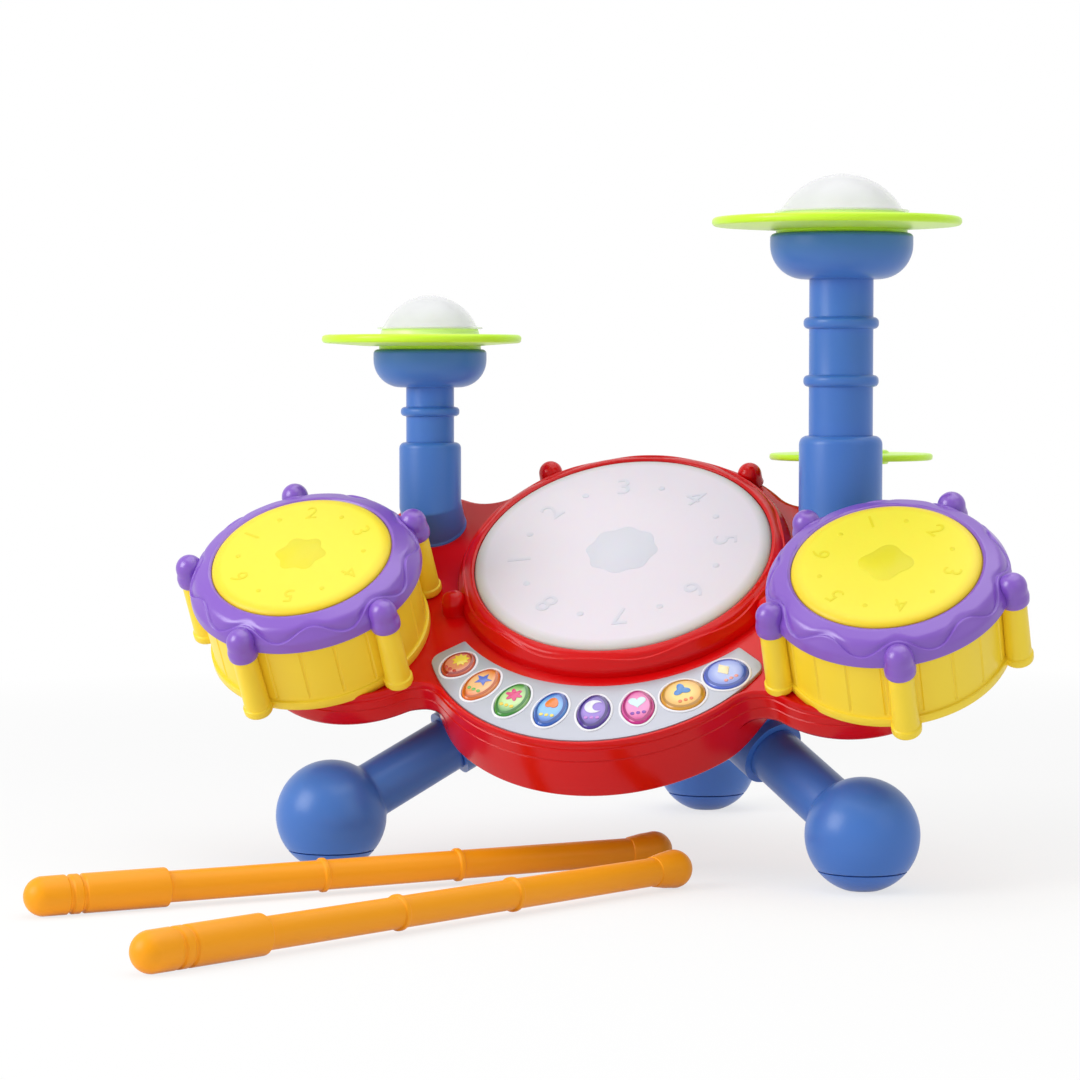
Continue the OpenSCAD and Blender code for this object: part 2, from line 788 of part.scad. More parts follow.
module battery_box() {
    color(rubber) on_body() translate([-box_l / 2, box_v - box_w / 2, tub_floor_n]) difference() {
        translate([-box_wall, -box_wall]) cube([box_l + 2 * box_wall, box_w + 2 * box_wall, box_h]);
        translate([0, 0, -1]) cube([box_l, box_w, box_h - box_wall + 1]);
    }
}

module batteries() {
    nub_r = 2.7;
    nub_l = 1;
    color(steel) on_body() for (i = [0:cells - 1])
        translate([0, box_v + (i - (cells - 1) / 2) * cell_pitch, tub_n + door_t() + cell_d / 2 + seat_gap])
            rotate([0, i % 2 == 0 ? 90 : -90, 0]) {
                translate([0, 0, -cell_l / 2]) cylinder(d = cell_d, h = cell_l - nub_l);
                translate([0, 0, cell_l / 2 - nub_l - eps]) cylinder(r = nub_r, h = nub_l + eps);
            }
}

module battery_door() {
    color(red) on_body() door_place() difference() {
        translate([-door_l() / 2, -door_w() / 2, 0]) cube([door_l(), door_w(), door_t()]);
        translate([0, door_screw_v() - box_v, -1]) cylinder(r = screw_r + seat_gap, h = door_t() + 2);
    }
}

module battery_door_screw() {
    color(steel) on_body() translate([0, door_screw_v(), tub_n]) screw(wall - seat_gap);
}

// Head below the origin, shank up
module screw(length) {
    translate([0, 0, -screw_head_h]) cylinder(r = screw_head_r, h = screw_head_h);
    translate([0, 0, -screw_head_h / 2]) cylinder(r = screw_r, h = length + screw_head_h / 2);
}

module power_switch() {
    color(rubber) on_body() translate([switch_u - switch_travel / 2, switch_v, 0]) {
        translate([-knob_l / 2, -knob_w / 2, tub_n - 2]) cube([knob_l, knob_w, wall + 2 + eps]);
        translate([-knob_l / 2 - 3 - switch_travel, -knob_w / 2 - 3, tub_floor_n])
            cube([knob_l + 6 + 2 * switch_travel, knob_w + 6, 2]);
    }
}

// Towers and cymbals

function left(s) = s == "left";
function socket_r(s) = left(s) ? left_socket_r : right_socket_r;
function socket_top(s) = left(s) ? left_socket_top : right_socket_top;
function post_r(s) = left(s) ? left_post_r : right_post_r;
function cup_z(s) = left(s) ? left_cup_z : right_cup_z;
function cup_r(s) = left(s) ? left_cup_r : right_cup_r;
function cup_h(s) = left(s) ? left_cup_h : right_cup_h;
function plate_r(s) = left(s) ? left_plate_r : right_plate_r;
function dome_h(s) = left(s) ? left_dome_h : right_dome_h;
function collar_r(s) = cup_r(s) - collar_inset;
function plate_z(s) = cup_z(s) + cup_h(s) + plate_gap;
function elbow() = placed([tower_u, tower_v, deck_n + elbow_h]);
// Heights of the ribs on a post, as shares of its free length
function ribs(s) = left(s) ? [0.56] : [0.35, 0.72];
function rib_h(s) = left(s) ? 4 : 5;

module on_tower(s) {
    mirror([left(s) ? 1 : 0, 0, 0]) translate([elbow()[0], elbow()[1]]) children();
}

module tower_socket(s) {
    r = socket_r(s);
    top = socket_top(s);
    low = elbow()[2];
    color(blue) difference() {
        union() {
            on_body() mirror([left(s) ? 1 : 0, 0, 0]) translate([tower_u, tower_v])
                tube(r, 0, deck_n, deck_n + elbow_h);
            on_tower(s) {
                translate([0, 0, low]) sphere(r = r + joint_proud);
                tube(r, 0, low, top - shoulder_r);
                rotate_extrude() {
                    translate([0, top - 2 * shoulder_r]) square([r - shoulder_r, 2 * shoulder_r]);
                    translate([r - shoulder_r, top - shoulder_r]) circle(r = shoulder_r);
                }
            }
            if (!left(s)) rear_arm();
        }
        on_tower(s) {
            translate([0, 0, top - socket_depth]) cylinder(r = post_r(s) + seat_gap, h = socket_depth + 1);
            translate([0, 0, low - wire_r]) cylinder(r = wire_r, h = top - low + wire_r);
        }
        on_body() mirror([left(s) ? 1 : 0, 0, 0]) translate([tower_u, tower_v, deck_n - 1]) {
            cylinder(r = wire_r - wire_step, h = elbow_h + 1);
            translate([0, 0, 1 - 2 * r]) cylinder(r = 2 * r, h = 2 * r);
        }
    }
}

module at_rear_cymbal() {
    on_tower("right") translate([-rear_in, rear_back]) children();
}

// Arm from the back of the right socket to the pin of the rear cymbal
module rear_arm() {
    reach = norm([rear_in, rear_back]);
    on_tower("right") rotate(atan2(rear_back, -rear_in))
        translate([socket_r("right") / 2 + wire_r, -arm_w / 2, rear_arm_top - arm_h])
            cube([reach - socket_r("right") / 2 - wire_r, arm_w, arm_h]);
    at_rear_cymbal() {
        tube(rear_pad_r, 0, rear_arm_top - arm_h, rear_arm_top);
        tube(rear_pin_r, 0, rear_arm_top - arm_h,
            rear_plate_z + rear_hub_h / 2 - rear_pin_roof - plate_travel - seat_gap);
    }
}

module rear_cymbal() {
    low = rear_plate_z - rear_hub_h / 2;
    color(lime) at_rear_cymbal() rotate_extrude() difference() {
        union() {
            round_disc(rear_plate_r, rear_plate_z - rear_plate_t / 2, rear_plate_z + rear_plate_t / 2, 1.2);
            round_disc(rear_hub_r, low, low + rear_hub_h, 1);
        }
        translate([0, low - 1]) square([rear_pin_r + fit_gap, rear_hub_h - rear_pin_roof + 1]);
    }
}

module tower_post(s) {
    r = post_r(s);
    low = socket_top(s) - socket_depth;
    free = cup_z(s) - socket_top(s);
    color(blue) on_tower(s) difference() {
        union() {
            tube(r, 0, low, cup_z(s));
            rotate_extrude() for (k = ribs(s))
                round_disc(r + rib_proud, socket_top(s) + k * free - rib_h(s) / 2,
                    socket_top(s) + k * free + rib_h(s) / 2, rib_h(s) / 2 - 0.2);
        }
        translate([0, 0, low - 1]) cylinder(r = wire_r, h = cup_z(s) - low + 2);
    }
}

// A bowl's half profile
module bowl(r, h, curve) {
    intersection() {
        square([r, h]);
        union() {
            square([r - curve, h]);
            translate([r - curve, curve]) circle(r = curve);
            translate([0, curve]) square([r, h]);
        }
    }
}

module cymbal_cup(s) {
    curve = cup_r(s) - post_r(s) - 2;
    color(blue) on_tower(s) translate([0, 0, cup_z(s)]) rotate_extrude() difference() {
        bowl(cup_r(s), cup_h(s), curve);
        translate([0, wall]) bowl(cup_r(s) - wall, cup_h(s), curve - wall);
        square([wire_r, 2 * wall]);
    }
}

module cymbal_plate(s) {
    z = plate_z(s);
    skirt_r = cup_r(s) - wall - fit_gap;
    color(lime) on_tower(s) difference() {
        union() {
            translate([0, -plate_shift]) rotate_extrude()
                round_disc(plate_r(s), z, z + plate_t, plate_t / 2 - 0.1);
            tube(skirt_r, 0, z - skirt_h, z + 1);
            tube(collar_r(s), 0, z + plate_t - 1, z + plate_t + collar_h);
        }
        translate([0, 0, z - skirt_h - 1]) cylinder(r = skirt_r - skirt_w, h = skirt_h + 1);
        translate([0, 0, z - 1]) cylinder(r = collar_r(s) - skirt_w * 2, h = plate_t + collar_h + 2);
    }
}

module cymbal_dome(s) {
    r = collar_r(s);
    h = dome_h(s);
    ball = (r * r + h * h) / (2 * h);
    color(pearl, 0.5) on_tower(s) translate([0, 0, plate_z(s) + plate_t + collar_h]) rotate_extrude()
        intersection() {
            square([r, h]);
            translate([0, h - ball]) difference() {
                circle(r = ball);
                circle(r = ball - dome_t);
            }
        }
}

module light_board(s) {
    led_r = 4;
    led_h = cup_h(s) - 6;
    color(board_green) on_tower(s) translate([0, 0, cup_z(s) + wall]) {
        difference() {
            cylinder(r = post_r(s), h = board_t);
            translate([post_r(s) - 3, 0, -1]) cylinder(r = 1, h = board_t + 2);
        }
        cylinder(r = led_r, h = led_h - led_r);
        translate([0, 0, led_h - led_r]) sphere(r = led_r);
    }
}

// Legs and feet

function leg_seats() = [[-leg_seat_u, leg_seat_v], [leg_seat_u, leg_seat_v], [0, rear_seat_v]];
function leg_seat(i) = placed([leg_seats()[i][0], leg_seats()[i][1], leg_seat_n]);
function leg_length(i) = norm(leg_seat(i) - ball_places[i]);

module leg(i) {
    tube_end = leg_length(i) - collar_l;
    color(blue) difference() {
        union() {
            translate(ball_places[i]) sphere(r = ball_r);
            along(ball_places[i], leg_seat(i)) {
                cylinder(r = leg_r, h = tube_end);
                cylinder(r = spigot_r, h = tube_end + spigot_l);
            }
        }
        translate([ball_places[i][0], ball_places[i][1], pad_h - ball_r])
            cube(2 * ball_r * [1, 1, 1], center = true);
        translate(ball_places[i]) sphere(r = ball_r - wall);
        along(ball_places[i], leg_seat(i)) cylinder(r = leg_r - wall, h = tube_end - wall);
    }
}

module leg_socket(i) {
    seat = leg_seats()[i];
    color(blue) difference() {
        union() {
            along(ball_places[i], leg_seat(i)) translate([0, 0, leg_length(i) - collar_l])
                cylinder(r = leg_collar_r, h = collar_l);
            translate(leg_seat(i)) sphere(r = leg_collar_r + joint_proud);
            on_body() translate([seat[0], seat[1], leg_seat_n]) cylinder(r = leg_collar_r, h = leg_seat_drop);
        }
        along(ball_places[i], leg_seat(i)) translate([0, 0, leg_length(i) - collar_l - 1])
            cylinder(r = leg_bore_r, h = spigot_l + 1 + seat_gap);
        on_body() translate([seat[0], seat[1], tub_n - 7]) cylinder(r = screw_r + seat_gap, h = 8);
        along(ball_places[i], leg_seat(i)) translate([0, 0, -ball_r]) cylinder(r = leg_collar_r * 2,
            h = leg_length(i) - collar_l + ball_r);
    }
}

module foot_pads() {
    color(blue) for (p = ball_places) intersection() {
        translate(p) sphere(r = ball_r);
        translate([p[0], p[1], pad_h / 2]) cube([2 * ball_r, 2 * ball_r, pad_h], center = true);
    }
}

// Fasteners

module case_screws() {
    length = seam_n - tub_n + 1.5;
    color(steel) on_body() both() for (p = case_bosses)
        translate([p[0], p[1], tub_n + screw_head_h]) screw(length);
}

module deck_screws() {
    length = wall + 3.5;
    color(steel) on_body() {
        for (p = main_bosses) translate([p[0], p[1], under_deck_n]) screw(length);
        both() for (p = side_bosses) translate([p[0], p[1], under_deck_n]) screw(length);
    }
}

module leg_screws() {
    color(steel) on_body() for (p = leg_seats()) translate([p[0], p[1], tub_floor_n]) rotate([180, 0, 0])
        screw(wall + 5);
}

// Drumsticks

// A stick along +Z from the end of its grip
module stick() {
    groove = 0.9;
    grooves = [20, 26];
    shaft_end = stick_l - grip_r * 0.7;
    rings = [0.45, 0.667];
    color(orange) difference() {
        union() {
            translate([0, 0, grip_r]) sphere(r = grip_r);
            translate([0, 0, grip_r]) cylinder(r = grip_r, h = grip_l - grip_r);
            translate([0, 0, grip_l - 1]) cylinder(r1 = shaft_r1, r2 = shaft_r2, h = shaft_end - grip_l + 1);
            for (k = rings) translate([0, 0, k * stick_l - ring_w / 2])
                cylinder(r = shaft_r1 + 1, h = ring_w);
            translate([0, 0, stick_l]) sphere(r = grip_r);
            translate([0, 0, stick_l - grip_r * 1.4]) cylinder(r1 = shaft_r2 + 0.6, r2 = grip_r * 0.95,
                h = grip_r * 1.1);
        }
        for (z = grooves) rotate_extrude() translate([grip_r, z]) circle(r = groove);
    }
}

module lower_stick() {
    translate([lower_grip[0], head_y + lower_grip[1], grip_r]) rotate([0, 90, lower_turn]) stick();
}

module upper_stick() {
    translate([upper_grip[0], head_y + upper_grip[1], grip_r]) rotate([0, 90, upper_turn]) stick();
}

body_top_shell();
body_bottom_shell();
main_drum_hoop();
main_drum_head();
main_switch_ring();
main_light_board();
control_panel();
for (i = [0:len(buttons) - 1]) button(i);
button_membrane();
main_board();
speaker();
battery_box();
batteries();
battery_door();
battery_door_screw();
power_switch();
for (s = sides) side_drum_shell(s);
for (s = sides) side_drum_hoop(s);
for (s = sides) side_drum_head(s);
for (s = sides) side_drum_switch(s);
for (s = sides) tower_socket(s);
for (s = sides) tower_post(s);
for (s = sides) cymbal_cup(s);
for (s = sides) cymbal_plate(s);
for (s = sides) cymbal_dome(s);
for (s = sides) light_board(s);
rear_cymbal();
for (i = [0:2]) leg_socket(i);
for (i = [0:2]) leg(i);
foot_pads();
case_screws();
deck_screws();
leg_screws();
lower_stick();
upper_stick();
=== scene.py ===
"""Looks of a child's electronic drum kit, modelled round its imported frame.

Sizes are in millimetres. Places on the tilted body use its own frame (u, v, n): the centre of the main
drum's head, v up the slope and n square to the deck.
"""

import json
import logging
import math
from dataclasses import dataclass
from enum import Enum
from typing import Callable, Iterable, NamedTuple, Optional, Sequence

import bmesh
import bpy
from mathutils import Matrix, Vector

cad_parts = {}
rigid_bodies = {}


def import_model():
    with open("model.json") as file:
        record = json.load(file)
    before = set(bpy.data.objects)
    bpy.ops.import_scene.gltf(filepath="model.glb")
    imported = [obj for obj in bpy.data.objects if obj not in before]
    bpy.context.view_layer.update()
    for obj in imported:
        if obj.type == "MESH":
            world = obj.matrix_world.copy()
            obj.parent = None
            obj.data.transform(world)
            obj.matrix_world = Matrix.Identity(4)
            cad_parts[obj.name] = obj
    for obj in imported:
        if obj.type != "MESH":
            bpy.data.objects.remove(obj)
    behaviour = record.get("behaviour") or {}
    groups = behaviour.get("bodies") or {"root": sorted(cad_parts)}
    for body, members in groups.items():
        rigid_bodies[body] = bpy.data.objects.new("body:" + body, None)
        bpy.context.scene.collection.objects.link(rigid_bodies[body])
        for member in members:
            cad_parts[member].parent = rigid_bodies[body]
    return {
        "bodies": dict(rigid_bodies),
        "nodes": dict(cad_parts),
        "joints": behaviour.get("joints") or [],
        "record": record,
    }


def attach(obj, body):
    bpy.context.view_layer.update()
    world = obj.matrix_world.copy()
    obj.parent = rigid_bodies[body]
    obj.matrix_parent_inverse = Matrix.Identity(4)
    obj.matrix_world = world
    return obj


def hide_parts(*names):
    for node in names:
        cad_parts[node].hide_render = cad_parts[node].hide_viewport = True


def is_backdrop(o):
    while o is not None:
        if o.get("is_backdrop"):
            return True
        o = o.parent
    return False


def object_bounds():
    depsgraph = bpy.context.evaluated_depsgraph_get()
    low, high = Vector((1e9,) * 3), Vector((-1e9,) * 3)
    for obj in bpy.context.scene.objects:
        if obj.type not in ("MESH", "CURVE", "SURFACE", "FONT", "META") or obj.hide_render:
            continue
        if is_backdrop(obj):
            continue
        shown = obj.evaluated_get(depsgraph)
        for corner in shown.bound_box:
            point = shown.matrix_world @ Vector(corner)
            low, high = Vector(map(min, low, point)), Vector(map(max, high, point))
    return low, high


LOG = logging.getLogger("drum_kit")
MM = 0.001
MERGE = 1e-3
FULL_TURN = 2 * math.pi

Point = tuple[float, float]
Spot = tuple[float, float, float]
Colour = tuple[int, int, int]
Ring = list[Vector]
Mesh = bmesh.types.BMesh
Socket = bpy.types.NodeSocket
Inputs = dict[str | int, object]


class Side(Enum):
    LEFT = "left"
    RIGHT = "right"

    @property
    def sign(self) -> float:
        """-1 on the left and 1 on the right."""
        return -1.0 if self is Side.LEFT else 1.0


# Plane shapes and profiles


class Corner(NamedTuple):
    """A corner of a profile and the radius that rounds it."""

    x: float
    y: float
    radius: float = 0.0


def polar(radius: float, turn: float) -> Point:
    """The point at a distance and an angle in radians."""
    return (radius * math.cos(turn), radius * math.sin(turn))


def arc(centre: Point, radius: float, start: float, end: float, count: int) -> list[Point]:
    """Points along an arc, both ends included.

    Args:
        centre: middle of the circle.
        radius: radius of the circle.
        start: first angle in radians.
        end: last angle in radians.
        count: number of steps.

    Returns:
        count + 1 points.
    """
    turns = [start + (end - start) * k / count for k in range(count + 1)]
    return [(centre[0] + x, centre[1] + y) for x, y in (polar(radius, t) for t in turns)]


def circle(radius: float, count: int, centre: Point = (0.0, 0.0)) -> list[Point]:
    """The points of a closed circle."""
    return arc(centre, radius, 0, FULL_TURN, count)[:-1]


def half_ball(radius: float, middle: float, steps: int) -> list[Point]:
    """A half ball's profile, from its widest place at the height middle to its top."""
    return arc((0.0, middle), radius, 0, FULL_TURN / 4, steps)


def quarter(steps: int = 6) -> list[Point]:
    """A quarter round: how far it is in and how much it has left to rise, as shares of its radius."""
    return [(1 - x, 1 - y) for x, y in arc((0, 0), 1, 0, FULL_TURN / 4, steps)]


def scallop(radius: float, lobes: int, depth: float) -> list[Point]:
    """The outline of a round shape with soft lobes; depth is a share of the radius."""
    turns = [FULL_TURN * k / 96 for k in range(96)]
    return [polar(radius * (1 + depth * math.cos(lobes * t)), t) for t in turns]


def rounded(corners: Sequence[Sequence[float]], closed: bool = False, steps: int = 6) -> list[Point]:
    """Rounds a profile's corners with arcs.

    Args:
        corners: the corners in order, each as x, y and the radius of a round one.
        closed: True if the last corner joins the first.
        steps: number of steps in each arc.

    Returns:
        The profile's points.
    """
    points: list[Point] = []
    last = len(corners) - 1
    spots = [Vector(corner[:2]) for corner in corners]
    for i, corner in enumerate(Corner(*corner) for corner in corners):
        if corner.radius <= 0 or (not closed and i in (0, last)):
            points.append((corner.x, corner.y))
            continue
        here = spots[i]
        back, ahead = ((spots[k % len(spots)] - here).normalized() for k in (i - 1, i + 1))
        half = back.angle(ahead) / 2
        middle = here + (back + ahead).normalized() * corner.radius / math.sin(half)
        first, final = (here + way * corner.radius / math.tan(half) - middle for way in (back, ahead))
        start = math.atan2(first.y, first.x)
        turn = math.atan2(final.y, final.x) - start
        turn = (turn + math.pi) % FULL_TURN - math.pi
        points += arc(tuple(middle), corner.radius, start, start + turn, steps)
    return points


def meet(a: Vector, ra: float, b: Vector, rb: float) -> Vector:
    """Meeting point of two circles, on the left of the way from a to b."""
    way = b - a
    span = way.length
    way.normalize()
    reach = (ra * ra - rb * rb + span * span) / (2 * span)
    off = math.sqrt(ra * ra - reach * reach)
    return a + way * reach + Vector((-way.y, way.x)) * off


def spread(path: Sequence[Point], count: int) -> list[Point]:
    """Points at equal distances along a path, its two ends left out.

    Args:
        path: the path's own points.
        count: how many points to place.

    Returns:
        The placed points.
    """
    pieces = list(zip(path, path[1:]))
    lengths = [math.dist(a, b) for a, b in pieces]
    total = sum(lengths)
    placed = []
    for k in range(1, count + 1):
        left = total * k / (count + 1)
        for (a, b), length in zip(pieces, lengths):
            if left <= length:
                break
            left -= length
        share = min(left / length, 1.0)
        placed.append((a[0] + (b[0] - a[0]) * share, a[1] + (b[1] - a[1]) * share))
    return placed


def ease(x: float) -> float:
    """0 below 0, 1 above 1 and a smooth step between."""
    x = min(max(x, 0.0), 1.0)
    return x * x * (3 - 2 * x)


def level(points: Iterable[Point], n: float) -> Ring:
    """A flat ring of points at height n."""
    return [Vector((x, y, n)) for x, y in points]


def between(a: Ring, b: Ring, share: Sequence[float]) -> Ring:
    """A ring on the way from a to b, each point by its own share."""
    return [p.lerp(q, s) for p, q, s in zip(a, b, share)]


# Meshes


def revolve(profile: Sequence[Point], steps: int = 96, closed: bool = False) -> Mesh:
    """Turns a half profile about the Z axis.

    Args:
        profile: points as radius and height.
        steps: steps in the full turn.
        closed: True if the profile is a ring's own closed section.

    Returns:
        The turned mesh.
    """
    bm = bmesh.new()
    verts = [bm.verts.new((r, 0, z)) for r, z in profile]
    edges = [bm.edges.new(pair) for pair in zip(verts, verts[1:])]
    if closed:
        edges.append(bm.edges.new((verts[-1], verts[0])))
    bmesh.ops.spin(bm, geom=verts + edges, cent=(0, 0, 0), axis=(0, 0, 1), angle=FULL_TURN,
                   steps=steps, use_merge=True)
    bmesh.ops.remove_doubles(bm, verts=bm.verts, dist=MERGE)
    bmesh.ops.recalc_face_normals(bm, faces=bm.faces)
    return bm


def loft(bm: Mesh, rings: Sequence[Ring]) -> tuple[list, list]:
    """Skins a row of closed rings that have as many points each.

    Args:
        bm: mesh to add to.
        rings: the rings in order.

    Returns:
        The edges of the first ring and of the last.
    """
    order = bm.verts.layers.int.get("order") or bm.verts.layers.int.new("order")
    verts = [bm.verts.new(p) for p in rings[0]]
    for i, vert in enumerate(verts):
        vert[order] = i
    first = [bm.edges.new((verts[i - 1], verts[i])) for i in range(len(verts))]
    edges = first
    for ring in rings[1:]:
        made = bmesh.ops.extrude_edge_only(bm, edges=edges)["geom"]
        fresh = [g for g in made if isinstance(g, bmesh.types.BMVert)]
        known = set(fresh)
        edges = [g for g in made if isinstance(g, bmesh.types.BMEdge) and known.issuperset(g.verts)]
        for vert in fresh:
            vert.co = ring[vert[order]]
    return first, edges


def fill(bm: Mesh, *loops: list) -> None:
    """Closes flat loops with triangles; loops inside the first are holes."""
    edges = [e for loop in loops for e in loop]
    bmesh.ops.triangle_fill(bm, edges=edges, use_beauty=True, normal=(0, 0, 1))


def sealed(bm: Mesh) -> Mesh:
    """Merges what lies together and points every face outwards."""
    bmesh.ops.remove_doubles(bm, verts=bm.verts, dist=MERGE)
    bmesh.ops.dissolve_degenerate(bm, edges=bm.edges, dist=MERGE / 10)
    bmesh.ops.recalc_face_normals(bm, faces=bm.faces)
    return bm


def block(rings: Sequence[Ring]) -> Mesh:
    """A closed solid from a row of rings, its two ends capped."""
    bm = bmesh.new()
    first, last = loft(bm, rings)
    bmesh.ops.edgeloop_fill(bm, edges=first)
    bmesh.ops.edgeloop_fill(bm, edges=last)
    return sealed(bm)


def pierced(rings: Sequence[Ring], holes: Iterable[Sequence[Point]]) -> Mesh:
    """A closed solid from a row of rings.

    Args:
        rings: the rings in order, the first and the last of them flat.
        holes: outlines of the holes that go through from the first ring to the last.

    Returns:
        The solid.
    """
    bm = bmesh.new()
    low, high = loft(bm, rings)
    walls = [loft(bm, [level(hole, ring[0].z) for ring in (rings[0], rings[-1])]) for hole in holes]
    fill(bm, low, *[wall[0] for wall in walls])
    fill(bm, high, *[wall[1] for wall in walls])
    return sealed(bm)


def hollow(rings: Sequence[Ring]) -> Mesh:
    """A closed solid round an axis, its last ring joined to the first."""
    bm = bmesh.new()
    loft(bm, [*rings, rings[0]])
    return sealed(bm)


def joined(*parts: Mesh) -> Mesh:
    """Puts several meshes into one."""
    whole = bmesh.new()
    for part in parts:
        scratch = bpy.data.meshes.new("scratch")
        part.to_mesh(scratch)
        whole.from_mesh(scratch)
        bpy.data.meshes.remove(scratch)
        part.free()
    return whole


def shift(x: float, y: float, z: float = 0.0) -> Matrix:
    """A move along the axes."""
    return Matrix.Translation((x, y, z))


def turned(degrees: float, axis: str = "Z") -> Matrix:
    """A turn about an axis."""
    return Matrix.Rotation(math.radians(degrees), 4, axis)


def moved(bm: Mesh, place: Matrix) -> Mesh:
    """Moves a whole mesh."""
    bmesh.ops.transform(bm, matrix=place, verts=bm.verts)
    return bm


def soften(bm: Mesh, edges: Iterable[bmesh.types.BMEdge], width: float, segments: int = 2) -> None:
    """Rounds off some edges of a mesh."""
    bmesh.ops.bevel(bm, geom=list(edges), offset=width, affect="EDGES", segments=segments, profile=0.5,
                    material=-1)


def prism(outline: Sequence[Point], low: float, high: float, edge: float) -> Mesh:
    """A flat shape with a bevelled upper edge.

    Args:
        outline: the shape's points.
        low: height of its underside.
        high: height of its face.
        edge: width of the bevel.

    Returns:
        The solid.
    """
    bm = bmesh.new()
    face = bm.faces.new([bm.verts.new((x, y, low)) for x, y in outline])
    made = bmesh.ops.extrude_face_region(bm, geom=[face])["geom"]
    top = [g for g in made if isinstance(g, bmesh.types.BMVert)]
    bmesh.ops.translate(bm, verts=top, vec=(0, 0, high - low))
    known = set(top)
    soften(bm, [e for e in bm.edges if known.issuperset(e.verts)], edge)
    bmesh.ops.recalc_face_normals(bm, faces=bm.faces)
    return bm


def numeral(text: str, size: float, depth: float) -> Mesh:
    """A raised numeral, centred on the Z axis.

    Args:
        text: what it reads.
        size: height of the type.
        depth: half of its thickness.

    Returns:
        The numeral's mesh.
    """
    curve = bpy.data.curves.new("numeral", "FONT")
    curve.body = text
    curve.size = size
    curve.extrude = depth
    curve.align_x = "CENTER"
    curve.align_y = "CENTER"
    curve.resolution_u = 4
    holder = bpy.data.objects.new("numeral", curve)
    bpy.context.scene.collection.objects.link(holder)
    graph = bpy.context.evaluated_depsgraph_get()
    mesh = bpy.data.meshes.new_from_object(holder.evaluated_get(graph))
    bm = bmesh.new()
    bm.from_mesh(mesh)
    bmesh.ops.remove_doubles(bm, verts=bm.verts, dist=MERGE)
    bpy.data.objects.remove(holder)
    bpy.data.curves.remove(curve)
    bpy.data.meshes.remove(mesh)
    return bm


# Finishes


def linear(colour: Sequence[int]) -> tuple[float, float, float, float]:
    """A colour given in steps of 0 to 255, as a shader takes it."""
    steps = [c / 255 for c in colour]
    shares = [s / 12.92 if s <= 0.04045 else ((s + 0.055) / 1.055) ** 2.4 for s in steps]
    return (*shares, 1.0)


class NodeKit:
    """Makes and joins shader nodes in one tree."""

    def __init__(self, tree: bpy.types.NodeTree) -> None:
        """Works on tree."""
        self.tree = tree

    def feed(self, node: bpy.types.Node, inputs: Inputs) -> None:
        """Links sockets to a node's inputs, or sets the inputs to constants."""
        for key, value in inputs.items():
            if isinstance(value, Socket):
                self.tree.links.new(value, node.inputs[key])
            else:
                node.inputs[key].default_value = value

    def add(self, kind: str, inputs: Optional[Inputs] = None, **settings: object) -> bpy.types.Node:
        """Adds a node.

        Args:
            kind: the node's type.
            inputs: what its inputs take, by name or number.
            settings: the node's properties.

        Returns:
            The node.
        """
        node = self.tree.nodes.new(kind)
        for key, value in settings.items():
            setattr(node, key, value)
        self.feed(node, inputs or {})
        return node

    def maths(self, what: str, a: object, b: object) -> Socket:
        """A math node on two sockets or numbers, and its result."""
        return self.add("ShaderNodeMath", {0: a, 1: b}, operation=what).outputs[0]

    def noise(self, vector: Socket, scale: object, detail: float) -> Socket:
        """A noise pattern and its value."""
        inputs = {"Vector": vector, "Scale": scale, "Detail": detail}
        return self.add("ShaderNodeTexNoise", inputs).outputs["Fac"]

    def ramp(self, value: Socket, given: tuple[object, object], wanted: Point) -> Socket:
        """Maps a value from one range to another, clamped."""
        keys = ("From Min", "From Max", "To Min", "To Max")
        inputs = {"Value": value, **dict(zip(keys, (*given, *wanted)))}
        return self.add("ShaderNodeMapRange", inputs).outputs["Result"]

    def mix(self, share: Socket, a: object, b: object) -> Socket:
        """Mixes two colours and gives the result."""
        return self.add("ShaderNodeMix", {"Factor": share, 6: a, 7: b}, data_type="RGBA").outputs[2]

    def blend(self, share: Socket, a: bpy.types.Node, b: bpy.types.Node) -> bpy.types.Node:
        """Mixes two shaders."""
        return self.add("ShaderNodeMixShader", {"Fac": share, 1: a.outputs[0], 2: b.outputs[0]})

    def distance(self, vector: Socket) -> Socket:
        """How long a vector is."""
        return self.add("ShaderNodeVectorMath", {0: vector}, operation="LENGTH").outputs["Value"]


NUMBER, TINT, VECTOR = "NodeSocketFloat", "NodeSocketColor", "NodeSocketVector"


def new_group(name: str, inputs: dict[str, str], outputs: dict[str, str]) -> tuple:
    """A shader node group with named sockets.

    Args:
        name: the group's name.
        inputs: socket kind by name.
        outputs: socket kind by name.

    Returns:
        The group, its node kit, its inputs by name and its output node.
    """
    tree = bpy.data.node_groups.new(name, "ShaderNodeTree")
    for way, sockets in (("INPUT", inputs), ("OUTPUT", outputs)):
        for key, kind in sockets.items():
            tree.interface.new_socket(key, in_out=way, socket_type=kind)
    kit = NodeKit(tree)
    return tree, kit, kit.add("NodeGroupInput").outputs, kit.add("NodeGroupOutput")


